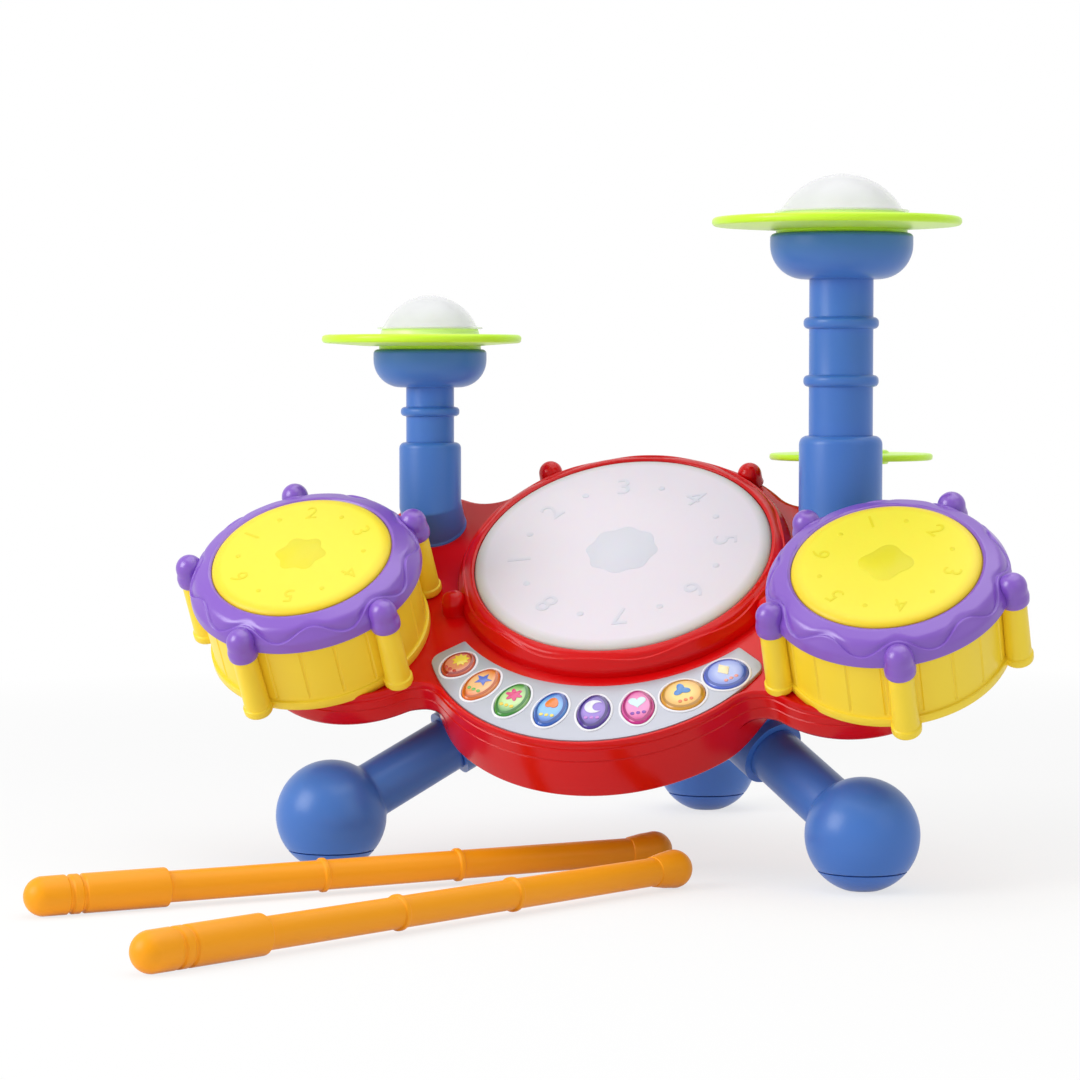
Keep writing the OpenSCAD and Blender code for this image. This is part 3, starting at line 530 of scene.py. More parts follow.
def moulded_group() -> bpy.types.NodeTree:
    """Moulded plastic: a slow drift of tint, fine handling marks and a faint orange peel."""
    tree, kit, given, out = new_group(
        "moulded_surface",
        {"Vector": VECTOR, "Colour": TINT, "Drift": NUMBER, "Gloss": NUMBER, "Peel scale": NUMBER},
        {"Colour": TINT, "Roughness": NUMBER, "Height": NUMBER})
    place, colour = given["Vector"], given["Colour"]
    dark = kit.add("ShaderNodeHueSaturation", {"Color": colour, "Value": 0.72}).outputs["Color"]
    cloud = kit.ramp(kit.noise(place, 14.0, 3.0), (0.35, 0.75), (0.0, 4.0))
    smear = kit.ramp(kit.noise(place, 24.0, 1.5), (0.45, 0.75), (0.0, 0.03))
    grain = kit.ramp(kit.noise(place, 900.0, 2.0), (0.3, 0.7), (-0.006, 0.006))
    kit.feed(out, {"Colour": kit.mix(kit.maths("MULTIPLY", cloud, given["Drift"]), colour, dark),
                   "Roughness": kit.maths("ADD", kit.maths("ADD", given["Gloss"], smear), grain),
                   "Height": kit.noise(place, given["Peel scale"], 2.0)})
    return tree


def rim_group() -> bpy.types.NodeTree:
    """A second colour that comes in with the distance from a centre."""
    tree, kit, given, out = new_group(
        "rim_shade", {"Vector": VECTOR, "Inner": NUMBER, "Outer": NUMBER, "Colour": TINT, "Rim colour": TINT},
        {"Colour": TINT})
    share = kit.ramp(kit.distance(given["Vector"]), (given["Inner"], given["Outer"]), (0.0, 1.0))
    kit.feed(out, {"Colour": kit.mix(share, given["Colour"], given["Rim colour"])})
    return tree


@dataclass(frozen=True)
class Rim:
    """A change of colour towards a piece's rim."""

    colour: Colour
    centre: Spot
    inner: float
    outer: float


@dataclass(frozen=True)
class Finish:
    """How a surface looks: its colour, its gloss and the grain of the mould."""

    name: str
    colour: Colour
    gloss: float = 0.22
    drift: float = 0.03
    peel: float = 0.05
    peel_scale: float = 450.0
    coat: float = 0.0
    coat_gloss: float = 0.06
    specular: float = 0.4
    metallic: float = 0.0
    subsurface: float = 0.0
    glow_depth: float = 4 * MM
    transmission: float = 0.0
    rim: Optional[Rim] = None

    def material(self) -> bpy.types.Material:
        """The finish as a material, made once."""
        return bpy.data.materials.get(self.name) or self._build()

    def _build(self) -> bpy.types.Material:
        """Builds the material's nodes."""
        material = bpy.data.materials.new(self.name)
        material.use_nodes = True
        kit = NodeKit(material.node_tree)
        place = kit.add("ShaderNodeTexCoord").outputs["Object"]
        tint = self._rim_colour(kit, place) if self.rim else linear(self.colour)
        surface = kit.add(
            "ShaderNodeGroup",
            {"Vector": place, "Colour": tint, "Drift": self.drift, "Gloss": self.gloss,
             "Peel scale": self.peel_scale},
            node_tree=self._group("moulded_surface", moulded_group)).outputs
        bump = kit.add("ShaderNodeBump", {"Strength": self.peel, "Distance": MM, "Height": surface["Height"]})
        kit.feed(kit.tree.nodes["Principled BSDF"], {
            "Base Color": surface["Colour"], "Roughness": surface["Roughness"],
            "Normal": bump.outputs["Normal"], "Metallic": self.metallic,
            "Specular IOR Level": self.specular, "Coat Weight": self.coat,
            "Coat Roughness": self.coat_gloss, "Transmission Weight": self.transmission,
            "Subsurface Weight": self.subsurface, "Subsurface Scale": self.glow_depth})
        return material

    def _rim_colour(self, kit: NodeKit, place: Socket) -> Socket:
        """The colour that changes towards the rim."""
        rim = self.rim
        centred = kit.add("ShaderNodeMapping", {"Vector": place, "Location": [-c for c in rim.centre]})
        shade = kit.add(
            "ShaderNodeGroup",
            {"Vector": centred.outputs["Vector"], "Inner": rim.inner, "Outer": rim.outer,
             "Colour": linear(self.colour), "Rim colour": linear(rim.colour)},
            node_tree=self._group("rim_shade", rim_group))
        return shade.outputs["Colour"]

    @staticmethod
    def _group(name: str, build: Callable[[], bpy.types.NodeTree]) -> bpy.types.NodeTree:
        """A shared node group, made once."""
        return bpy.data.node_groups.get(name) or build()


RED = Finish("red_gloss", (214, 6, 10), gloss=0.2, peel=0.02, specular=0.24)
BLUE = Finish("blue_satin", (70, 122, 206), gloss=0.32, peel=0.03)
LIME = Finish("lime_gloss", (206, 255, 48), gloss=0.3, drift=0.01)
LIME_PALE = Finish("lime_pale", (232, 252, 176), gloss=0.24, drift=0.01)
PURPLE = Finish("purple_gloss", (131, 82, 196), gloss=0.28, peel=0.015, specular=0.8)
AMBER = Finish("amber_satin", (255, 224, 52), gloss=0.34, drift=0.01, peel=0.03)
ORANGE = Finish("orange_satin", (255, 166, 8), gloss=0.42, drift=0.03, peel=0.06, specular=0.3)
SILVER = Finish("silver_lacquer", (180, 182, 193), gloss=0.36, drift=0.03, metallic=0.3, peel=0.0)
WHITE = Finish("white_trim", (244, 244, 250), gloss=0.25)
BULB = Finish("bulb_white", (250, 250, 252), gloss=0.4, subsurface=0.3)
CLEAR = Finish("clear_dome", (238, 240, 246), gloss=0.12, drift=0.0, peel=0.02, transmission=0.55,
               specular=0.5)
RUBBER = Finish("black_rubber", (48, 48, 50), gloss=0.62, peel=0.2)
STEEL = Finish("zinc_steel", (190, 192, 196), gloss=0.3, metallic=1.0)
BOARD = Finish("solder_mask", (24, 110, 62), gloss=0.4)

NODE_FINISHES: dict[str, Finish] = {
    "red_plastic": RED, "blue_plastic": BLUE, "lime_plastic": LIME, "purple_plastic": PURPLE,
    "amber_plastic": AMBER, "orange_plastic": ORANGE, "silver_panel": SILVER, "clear_dome": CLEAR,
    "rubber": RUBBER, "foot_rubber": BLUE, "steel": STEEL, "circuit_board": BOARD,
}


# Places and pieces


@dataclass(frozen=True)
class Stance:
    """Where the tilted body stands."""

    tilt: float = 36.0
    head_y: float = -197.0
    head_z: float = 152.2

    @property
    def body(self) -> Matrix:
        """From the body frame, in millimetres, to the part's own, in millimetres."""
        return shift(0, self.head_y, self.head_z) @ turned(self.tilt, "X")

    @property
    def up(self) -> Vector:
        """The deck's normal in the part's own frame."""
        return self.body.to_3x3() @ Vector((0, 0, 1))


STANCE = Stance()
ROOT = "kit"


class Workshop:
    """Turns finished meshes into pieces that ride on the frame's bodies."""

    def __init__(self) -> None:
        """Loads the frame and keeps its box."""
        self.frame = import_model()
        self.cad_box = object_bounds()
        self.triangles = 0

    def piece(self, name: str, bm: Mesh, place: Matrix, finish: Finish,
              body: str = ROOT, nodes: Sequence[str] = (), crease: float = 33.0) -> bpy.types.Object:
        """Makes one piece.

        Args:
            name: the piece's name.
            bm: its mesh in millimetres, freed here.
            place: from the mesh's frame to the part's own, in millimetres.
            finish: how it looks.
            body: the body it rides on.
            nodes: the frame's nodes that it stands for.
            crease: edges turned more than this many degrees stay sharp.

        Returns:
            The piece's object.
        """
        moved(bm, Matrix.Scale(MM, 4) @ place)
        if place.determinant() < 0:
            bmesh.ops.reverse_faces(bm, faces=bm.faces)
        mesh = bpy.data.meshes.new(name)
        bm.to_mesh(mesh)
        bm.free()
        mesh.shade_smooth()
        mesh.set_sharp_from_angle(angle=math.radians(crease))
        mesh.materials.append(finish.material())
        made = bpy.data.objects.new(name, mesh)
        bpy.context.scene.collection.objects.link(made)
        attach(made, body)
        if nodes:
            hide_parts(*nodes)
        count = sum(len(p.vertices) - 2 for p in mesh.polygons)
        self.triangles += count
        LOG.info("%s: %d triangles on %s", name, count, body)
        return made

    def dress_nodes(self) -> None:
        """Gives each frame node that still shows its own finish."""
        slots = {row["node"]: row["material_slot"] for row in self.frame["record"]["subparts"]}
        for name, node in self.frame["nodes"].items():
            if not node.hide_render:
                finish = NODE_FINISHES.get(slots[name], RUBBER)
                for held in node.material_slots:
                    held.material = finish.material()
                LOG.info("%s keeps its own shape in %s", name, finish.name)

    def write_size(self) -> None:
        """Brings the scene up to date."""
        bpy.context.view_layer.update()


@dataclass(frozen=True)
class Sweep:
    """One arc of the deck's outline; turn is 1 where it bulges out and -1 where it blends two others."""

    centre: Vector
    radius: float
    turn: int
    start: float
    end: float
    count: int

    def points(self, inset: float) -> list[Point]:
        """The arc's points, moved inwards by inset."""
        return arc(tuple(self.centre), self.radius - self.turn * inset, self.start, self.end, self.count)


@dataclass
class Body:
    """The red casing: a lobed deck with a window for the panel, on a deeper middle tub."""

    main_r: float = 90.0
    front_r: float = 91.0
    front_v: float = 40.0
    wing_u: float = 122.0
    wing_v: float = -52.0
    wing_r: float = 52.0
    pad_u: float = 104.0
    pad_v: float = 29.0
    pad_r: float = 27.0
    rear_blend_r: float = 20.0
    front_blend_r: float = 15.0
    side_blend_r: float = 60.0
    deck_n: float = -11.0
    seam_n: float = -17.0
    wing_n: float = -28.0
    tub_n: float = -40.0
    wall: float = 2.5
    seam_groove: float = 0.5
    rim_r: float = 4.0
    lip_n: float = -9.2
    lip: tuple[Point, ...] = (
        (0.0, 5.0), (0.0, 4.4), (0.25, 4.1), (0.6, 3.9), (0.6, 3.5), (0.4, 2.9), (0.4, 1.6), (0.6, 0.7),
        (1.1, 0.15), (1.8, 0.0), (2.4, 0.2), (2.7, 0.6), (2.75, 1.8), (4.0, 1.8))
    floor_r: float = 5.0
    floor_step: float = 0.2
    taper: float = 1.0
    point_gap: float = 2.4
    tub_steps: int = 12
    wing_fade: int = 4
    lip_arc: float = 49.5
    lip_fade: float = 7.0
    seam_drop: float = 3.0
    seam_arc: float = 36.0
    skirt_drop: float = 2.2
    skirt_arc: float = 32.0
    skirt_fade: float = 16.0
    skirt_r: float = 1.4
    skirt_in: float = 3.0
    skirt_w: float = 1.0

    def __post_init__(self) -> None:
        """Works out the outline's blends."""
        main, front = Vector((0, 0)), Vector((0, -self.front_v))
        wing, pad = Vector((self.wing_u, self.wing_v)), Vector((self.pad_u, self.pad_v))
        low = meet(wing, self.wing_r + self.front_blend_r, front, self.front_r + self.front_blend_r)
        back = meet(main, self.main_r + self.rear_blend_r, pad, self.pad_r + self.rear_blend_r)
        out = meet(pad, self.pad_r + self.side_blend_r, wing, self.wing_r + self.side_blend_r)
        chain = [(front, self.front_r, 1), (low, self.front_blend_r, -1), (wing, self.wing_r, 1),
                 (out, self.side_blend_r, -1), (pad, self.pad_r, 1), (back, self.rear_blend_r, -1),
                 (main, self.main_r, 1)]
        self.arcs: list[Sweep] = []
        for i, (centre, radius, turn) in enumerate(chain):
            start, end = -math.pi / 2, math.pi / 2
            if i > 0:
                start = self._heading(centre, chain[i - 1][0])
            if i < len(chain) - 1:
                end = self._heading(centre, chain[i + 1][0])
            sweep = (turn * (end - start)) % FULL_TURN * turn
            count = max(4, round(abs(sweep) * radius / self.point_gap))
            self.arcs.append(Sweep(centre, radius, turn, start, start + sweep, count))
        self.front_count = self.arcs[0].count
        self.side_count = sum(part.count for part in self.arcs[1:-1])

    @staticmethod
    def _heading(a: Vector, b: Vector) -> float:
        """Direction from a to b."""
        return math.atan2(b.y - a.y, b.x - a.x)

    @staticmethod
    def _mirrored(right: list[Point]) -> list[Point]:
        """A closed outline from its right half."""
        return right + [(-x, y) for x, y in right[-2:0:-1]]

    def outline(self, inset: float) -> list[Point]:
        """The deck's outline, moved inwards by inset."""
        right = [point for part in self.arcs for point in part.points(inset)[:-1]]
        return self._mirrored(right + self.arcs[-1].points(inset)[-1:])

    def tub(self, inset: float) -> list[Point]:
        """The tub's outline with a point for each of the deck's."""
        front, main = self.arcs[0], self.arcs[-1]
        path = arc(tuple(front.centre), front.radius - inset, front.end, 0, self.tub_steps)
        path += arc(tuple(main.centre), main.radius - inset, 0, main.start, self.tub_steps)
        return self._mirrored(front.points(inset) + spread(path, self.side_count - 1) + main.points(inset))

    def _wing_share(self) -> list[float]:
        """1 where the deck stands out over the tub, 0 where both walls are one."""
        end = self.front_count + self.side_count
        inside = [min(i - self.front_count, end - i) for i in range(end + self.arcs[-1].count + 1)]
        share = [ease(count / self.wing_fade) for count in inside]
        return share + share[-2:0:-1]

    @staticmethod
    def _front_share(points: list[Point], reach: float, fade: float) -> list[float]:
        """1 along the front up to reach degrees to each side, fading out past it."""
        turns = [math.degrees(abs(math.atan2(u, -v))) for u, v in points]
        return [ease((reach - turn) / fade + 1) for turn in turns]

    def _seam(self, inset: float, rise: float) -> Ring:
        """The seam's line between the shells, which dips along the front skirt."""
        share = self._front_share(self.outline(0), self.seam_arc, self.skirt_fade)
        points, n = self.outline(inset), self.seam_n + rise
        return between(level(points, n), level(points, n - self.seam_drop), share)

    def _foot(self, plain: Point, sharp: Point) -> Ring:
        """A ring at the tub's foot: plain at the back, sharper and lower along the front skirt.

        Args:
            plain: inset and height of the ring at the back.
            sharp: inset and height along the front skirt.

        Returns:
            The ring.
        """
        share = self._front_share(self.tub(0), self.skirt_arc, self.skirt_fade)
        return between(*[level(self.tub(inset), n) for inset, n in (plain, sharp)], share)

    def top_shell(self, window: list[Point]) -> Mesh:
        """The deck, its rounded rim, the lip in front of the panel and the window under it.

        Args:
            window: outline of the window.

        Returns:
            The shell.
        """
        rings = [level(self.outline(self.wall), self.deck_n - self.wall), self._seam(self.wall, 0),
                 self._seam(self.seam_groove, 0), self._seam(0, self.seam_groove)]
        share = self._front_share(self.outline(0), self.lip_arc, self.lip_fade)
        for (inset, drop), (lip_in, lip_drop) in zip(quarter(len(self.lip) - 1), self.lip):
            plain = level(self.outline(self.rim_r * inset), self.deck_n - self.rim_r * drop)
            rings.append(between(plain, level(self.outline(lip_in), self.lip_n - lip_drop), share))
        return pierced(rings, [window])

    def bottom_shell(self, holes: Sequence[list[Point]]) -> Mesh:
        """The wings' undersides and the tub, with the holes in its floor.

        Args:
            holes: outlines of the holes.

        Returns:
            The shell.
        """
        wing, shelf_n, skirt_n = self._wing_share(), self.wing_n + self.wall, self.tub_n - self.skirt_drop
        rings = [level(self.tub(self.wall + self.taper), self.tub_n + self.wall),
                 level(self.tub(self.wall), shelf_n), level(self.outline(self.wall), shelf_n),
                 self._seam(self.wall, 0), self._seam(self.seam_groove, 0), self._seam(0, -self.seam_groove)]
        for inset, rise in quarter():
            n = self.wing_n + self.rim_r * rise
            rings.append(between(*[level(self.outline(self.rim_r * x), n) for x in (0, inset)], wing))
        rings.append(level(self.tub(0), self.wing_n))
        for inset, rise in quarter():
            rings.append(self._foot((self.taper + self.floor_r * inset, self.tub_n + self.floor_r * rise),
                                    (self.skirt_r * inset, skirt_n + self.skirt_r * rise)))
        floor_in = self.taper + self.floor_r + self.floor_step
        rings.append(self._foot((floor_in, self.tub_n), (self.skirt_in, skirt_n)))
        rings.append(self._foot((floor_in + self.floor_step, self.tub_n),
                                (self.skirt_in + self.skirt_w, self.tub_n)))
        return pierced(rings, holes)


@dataclass
class Panel:
    """The silver panel with its eight buttons."""

    inner_r: float = 89.5
    outer_r: float = 88.0
    front_v: float = 40.0
    half_arc: float = 48.7
    low_n: float = -11.0
    top_n: float = -9.4
    gap: float = 0.3
    edge: float = 0.5
    corner_r: float = 7.0
    tip_r: float = 1.0
    play: float = 0.2
    window_in: float = 1.2
    button_l: float = 23.2
    button_w: float = 15.4
    button_d: float = 21.0
    end_r: float = 5.2
    margin: float = 3.2
    leans: tuple[float, ...] = (11.0, 5.0, 2.0, 0.0, 0.0, 0.0, 0.0, 0.0)
    first_turn: float = -130.5
    step: float = 11.0
    round_turns: tuple[float, float] = (-63.8, -51.0)
    ovals: int = 6
    foot_n: float = -12.0
    crown_n: float = -7.6
    bezel_w: float = 1.5
    bezel_n: float = -8.75

    def band_out(self, turn: float) -> float:
        """Distance from the main drum's centre to the panel's outer edge."""
        a = math.radians(turn)
        return -self.front_v * math.sin(a) + math.sqrt(self.outer_r**2 - (self.front_v * math.cos(a)) ** 2)

    def outline(self, inset: float) -> list[Point]:
        """The panel's outline with its rounded corners, moved inwards by inset."""
        inner, outer = self.inner_r + inset, self.outer_r - inset
        apex = -inset / math.sin(math.radians(self.half_arc))
        slope = math.tan(math.radians(self.half_arc))
        ends = [self._crossing(r, v, apex, slope) for r, v in ((inner, 0.0), (outer, -self.front_v))]
        a_in = math.atan2(ends[0][1], ends[0][0])
        a_out = math.atan2(ends[1][1] + self.front_v, ends[1][0])
        far = arc((0, -self.front_v), outer, -math.pi - a_out, a_out, 48)
        near = arc((0, 0), inner, a_in, -math.pi - a_in, 48)
        radii = [0.0] * len(far + near)
        radii[0] = radii[len(far) - 1] = self.corner_r
        radii[len(far)] = radii[-1] = self.tip_r
        return rounded([(*point, radius) for point, radius in zip(far + near, radii)], closed=True)

    @staticmethod
    def _crossing(radius: float, centre_v: float, apex: float, slope: float) -> Point:
        """Where the panel's right end line crosses a circle."""
        low, high = 0.0, radius * 2
        for _ in range(60):
            depth = (low + high) / 2
            point = Vector((depth * slope, apex - depth - centre_v))
            low, high = (depth, high) if point.length < radius else (low, depth)
        return (low * slope, apex - low)

    def turn(self, i: int) -> float:
        """Angle of button i."""
        return self.first_turn + self.step * i if i < self.ovals else self.round_turns[i - self.ovals]

    def place(self, i: int) -> Matrix:
        """Button i's frame on the body: y away from the player."""
        turn = self.turn(i)
        middle = (self.inner_r + self.band_out(turn)) / 2
        return turned(turn) @ shift(middle, 0) @ turned(90 + self.leans[i])

    def oval(self, i: int, grow: float) -> list[Point]:
        """Outline of button i, grown on all sides."""
        if i >= self.ovals:
            return circle(self.button_d / 2 + grow, 64)
        length = min(self.button_l, self.band_out(self.turn(i)) - self.inner_r - 2 * self.margin)
        half_w, reach = self.button_w / 2, length / 2 - self.end_r
        side_r = (half_w**2 + reach**2 - self.end_r**2) / (2 * (half_w - self.end_r))
        lean = math.atan2(reach, side_r - half_w)
        right = arc((half_w - side_r, 0), side_r + grow, -lean, lean, 18)
        top = arc((0, reach), self.end_r + grow, lean, math.pi - lean, 14)
        half = right[:-1] + top[:-1]
        return half + [(-x, -y) for x, y in half]

    def on_body(self, i: int, grow: float) -> list[Point]:
        """Button i's outline on the body, grown on all sides."""
        place = self.place(i)
        spots = [place @ Vector((x, y, 0)) for x, y in self.oval(i, grow)]
        return [(p.x, p.y) for p in spots]

    def _rings(self, i: int, rows: Sequence[Point]) -> list[Ring]:
        """Button i's outline, grown and at a height as each row says."""
        return [level(self.on_body(i, grow), n) for grow, n in rows]

    def plate(self) -> Mesh:
        """The panel with a hole for each button."""
        edge, top = self.edge, self.top_n
        rows = ((0, self.low_n), (0, top - edge), (edge * 0.3, top - edge * 0.3), (edge, top))
        holes = [self.on_body(i, self.gap) for i in range(len(self.leans))]
        return pierced([level(self.outline(self.play + inset), n) for inset, n in rows], holes)

    def bezel(self, i: int) -> Mesh:
        """The white ring round button i."""
        foot, side, top = self.top_n - 0.2, self.bezel_n - 0.25, self.bezel_n
        near, far = self.gap, self.bezel_w
        return hollow(self._rings(i, [(near, foot), (near, side), (near + 0.35, top), (far * 0.6, top),
                                      (far * 0.9, side), (far, foot)]))

    def button(self, i: int) -> Mesh:
        """Button i with its crowned top."""
        crown = self.crown_n
        return block(self._rings(i, [(0, self.foot_n), (0, crown - 1.5), (-0.2, crown - 0.95),
                                     (-0.7, crown - 0.5), (-1.6, crown - 0.2), (-2.8, crown - 0.05),
                                     (-4.2, crown)]))

    def button_edge(self, i: int) -> Mesh:
        """The dark line printed round button i's face."""
        crown = self.crown_n
        return hollow(self._rings(i, [(-0.75, crown - 0.6), (-0.75, crown - 0.42), (-1.6, crown - 0.13),
                                      (-2.0, crown - 0.08), (-2.0, crown - 0.3)]))

    def window(self) -> list[Point]:
        """Outline of the deck's window under the panel."""
        return self.outline(self.window_in)


class Motif(Enum):
    """The plain shapes printed on the buttons."""

    STAR = "star"
    BLOSSOM = "blossom"
    DIAMOND = "diamond"
    SUN = "sun"
    MOON = "moon"
    HEART = "heart"
    DROP = "drop"
    CLOVER = "clover"

    def outline(self, size: float) -> list[Point]:
        """The shape's outline.

        Args:
            size: half of its height.

        Returns:
            A closed outline.
        """
        if self is Motif.HEART:
            return self._heart(size)
        if self is Motif.MOON:
            outer = arc((0, 0), size, math.radians(40), math.radians(320), 30)
            inner = arc((size * 0.55, 0), size * 0.68, math.radians(288), math.radians(72), 22)
            return outer + inner
        turns = [FULL_TURN * k / 60 for k in range(60)]
        reach: dict[Motif, Callable[[float], float]] = {
            Motif.BLOSSOM: lambda t: 0.78 + 0.22 * math.cos(6 * t),
            Motif.DROP: lambda t: 0.72 + 0.28 * math.sin(t) ** 5,
            Motif.CLOVER: lambda t: 0.74 + 0.26 * math.cos(3 * (t - math.pi / 2)),
        }
        if self in reach:
            return [polar(size * reach[self](t), t) for t in turns]
        spikes, depth = {Motif.STAR: (5, 0.45), Motif.SUN: (9, 0.66), Motif.DIAMOND: (2, 0.7)}[self]
        reaches = [size, size * depth] * spikes
        return [polar(r, math.pi / 2 + math.pi * k / spikes) for k, r in enumerate(reaches)]

    @staticmethod
    def _heart(size: float) -> list[Point]:
        """A heart from its usual formula."""
        turns = [FULL_TURN * k / 48 for k in range(48)]
        wide = [16 * math.sin(t) ** 3 for t in turns]
        high = [13 * math.cos(t) - 5 * math.cos(2 * t) - 2 * math.cos(3 * t) - math.cos(4 * t) for t in turns]
        return [(x * size / 17, y * size / 17) for x, y in zip(wide, high)]


@dataclass(frozen=True)
class Key:
    """One button's colours and its printed shapes."""

    slot: str
    colour: Colour
    rim: Colour
    motif: Motif
    motif_colour: Colour
    dots_colour: Colour


KEYS = (
    Key("button_red", (240, 150, 110), (196, 44, 24), Motif.SUN, (250, 226, 70), (206, 60, 40)),
    Key("button_orange", (250, 196, 140), (232, 112, 30), Motif.STAR, (96, 120, 214), (120, 190, 90)),
    Key("button_green", (196, 232, 160), (58, 148, 52), Motif.BLOSSOM, (224, 70, 132), (248, 210, 70)),
    Key("button_blue", (130, 190, 245), (36, 96, 196), Motif.DROP, (240, 130, 60), (250, 226, 110)),
    Key("button_violet", (150, 118, 214), (70, 40, 150), Motif.MOON, (236, 236, 246), (200, 130, 220)),
    Key("button_magenta", (244, 140, 200), (206, 24, 138), Motif.HEART, (214, 240, 244), (134, 70, 180)),
    Key("button_gold", (250, 216, 120), (226, 160, 40), Motif.CLOVER, (80, 140, 214), (240, 130, 80)),
    Key("button_sky", (176, 192, 246), (84, 110, 214), Motif.DIAMOND, (250, 236, 190), (240, 160, 150)),
)


@dataclass
class ButtonRow:
    """The panel's pieces and the buttons with their prints."""

    panel: Panel
    print_t: float = 0.25
    print_in: float = 0.1
    print_edge: float = 0.12
    shade_from: float = 4.5 * MM
    shade_to: float = 9.5 * MM
    edge_share: float = 0.82
    motif_r: float = 4.4
    motif_y: float = 2.2
    dot_r: float = 0.95
    dot_gap: float = 2.7
    dot_y: float = -5.3

    def build(self, shop: Workshop) -> None:
        """Makes the panel, its rings, the buttons and their prints."""
        panel, body = self.panel, STANCE.body
        shop.piece("control_panel_plate", panel.plate(), body, SILVER, nodes=["control_panel"])
        rings = joined(*[panel.bezel(i) for i in range(len(KEYS))])
        shop.piece("button_rings", rings, body, WHITE)
        for i, key in enumerate(KEYS):
            self._button(shop, i, key)

    def _button(self, shop: Workshop, i: int, key: Key) -> None:
        """Makes one button with its print."""
        body, ride, node = STANCE.body, f"key_{i + 1}", f"button_{i + 1}"
        place = body @ self.panel.place(i) @ shift(0, 0, self.panel.crown_n)
        rim = Rim(key.rim, tuple(place.translation * MM), self.shade_from, self.shade_to)
        face = Finish(f"{node}_cap", key.colour, gloss=0.14, coat=0.5, rim=rim)
        shop.piece(f"{node}_cap", self.panel.button(i), body, face, ride, [node])
        dark = tuple(int(c * self.edge_share) for c in key.rim)
        edge = Finish(f"{node}_edge_ink", dark, gloss=0.16, coat=0.4)
        shop.piece(f"{node}_edge", self.panel.button_edge(i), body, edge, ride)
        motif = self._print(key.motif.outline(self.motif_r), 0, self.motif_y)
        dots = [self._print(circle(self.dot_r, 16), k * self.dot_gap, self.dot_y) for k in (-1, 0, 1)]
        for name, mesh, ink, colour in (("motif", motif, "ink", key.motif_colour),
                                        ("dots", joined(*dots), "dot_ink", key.dots_colour)):
            finish = Finish(f"{node}_{ink}", colour, gloss=0.2, coat=0.3)
            shop.piece(f"{node}_{name}", mesh, place, finish, ride)

    def _print(self, outline: list[Point], x: float, y: float) -> Mesh:
        """A thin raised print on a button's face."""
        return moved(prism(outline, -self.print_in, self.print_t, self.print_edge), shift(x, y))


@dataclass
class Head:
    """A struck head: a flat plate with a soft edge, held down by its flange."""

    radius: float
    top: float
    lip: float
    edge: float = 5.0
    drop: float = 2.4
    thick: float = 3.0
    flange_w: float = 2.6
    flange_t: float = 1.5
    mark_depth: float = 0.16
    mark_in: float = 0.2
    mark_edge: float = 0.1
    dot_share: float = 0.1
    middle_in: float = 0.3
    middle_share: float = 0.7
    middle_edge: float = 0.12

    def mesh(self) -> Mesh:
        """The plate, its wall and its flange."""
        r, top = self.radius, self.top
        shoulder = [(r - self.edge * left, top - self.drop * sunk) for sunk, left in quarter(10)]
        foot, under = self.lip - self.flange_t, top - self.thick
        outer, inner = r + self.flange_w, r - self.thick - 1
        profile = [(0.0, top), (r * 0.5, top), *shoulder, (r, self.lip), (outer, self.lip), (outer, foot),
                   (inner, foot), (inner, under), (0.0, under)]
        return revolve(profile, 128)

    def marks(self, numerals: str, ring: float, size: float, first: float) -> Mesh:
        """Raised numerals in a ring, with a dot between each two.

        Args:
            numerals: what to write round the head.
            ring: radius of the ring.
            size: height of the type.
            first: angle of the first numeral in degrees, from the top.

        Returns:
            The marks.
        """
        parts = []
        step, spot = 360 / len(numerals), shift(0, ring, self.top)
        for i, text in enumerate(numerals):
            dot = prism(circle(size * self.dot_share, 20), -self.mark_in, self.mark_depth, self.mark_edge)
            for mark, steps in ((numeral(text, size, self.mark_depth), i), (dot, i + 0.5)):
                parts.append(moved(mark, turned(first - step * steps) @ spot))
        return joined(*parts)

    def centre_mark(self, outline: list[Point]) -> Mesh:
        """A low raised shape in the middle."""
        mark = prism(outline, -self.middle_in, self.mark_depth * self.middle_share, self.middle_edge)
        return moved(mark, shift(0, 0, self.top))


@dataclass(frozen=True)
class Wave:
    """A wavy line round a hoop, by the way down the hoop's face."""

    middle: float
    swing: float
    waves: int
    turn: float
    lift: float = 0.0

    def line(self, turn: float) -> float:
        """Way to the line at an angle; every second crest is lifted where a lug stands."""
        phase = self.waves * (turn - self.turn)
        return self.middle - self.swing * math.cos(phase) - self.lift * max(math.cos(phase / 2), 0.0) ** 8


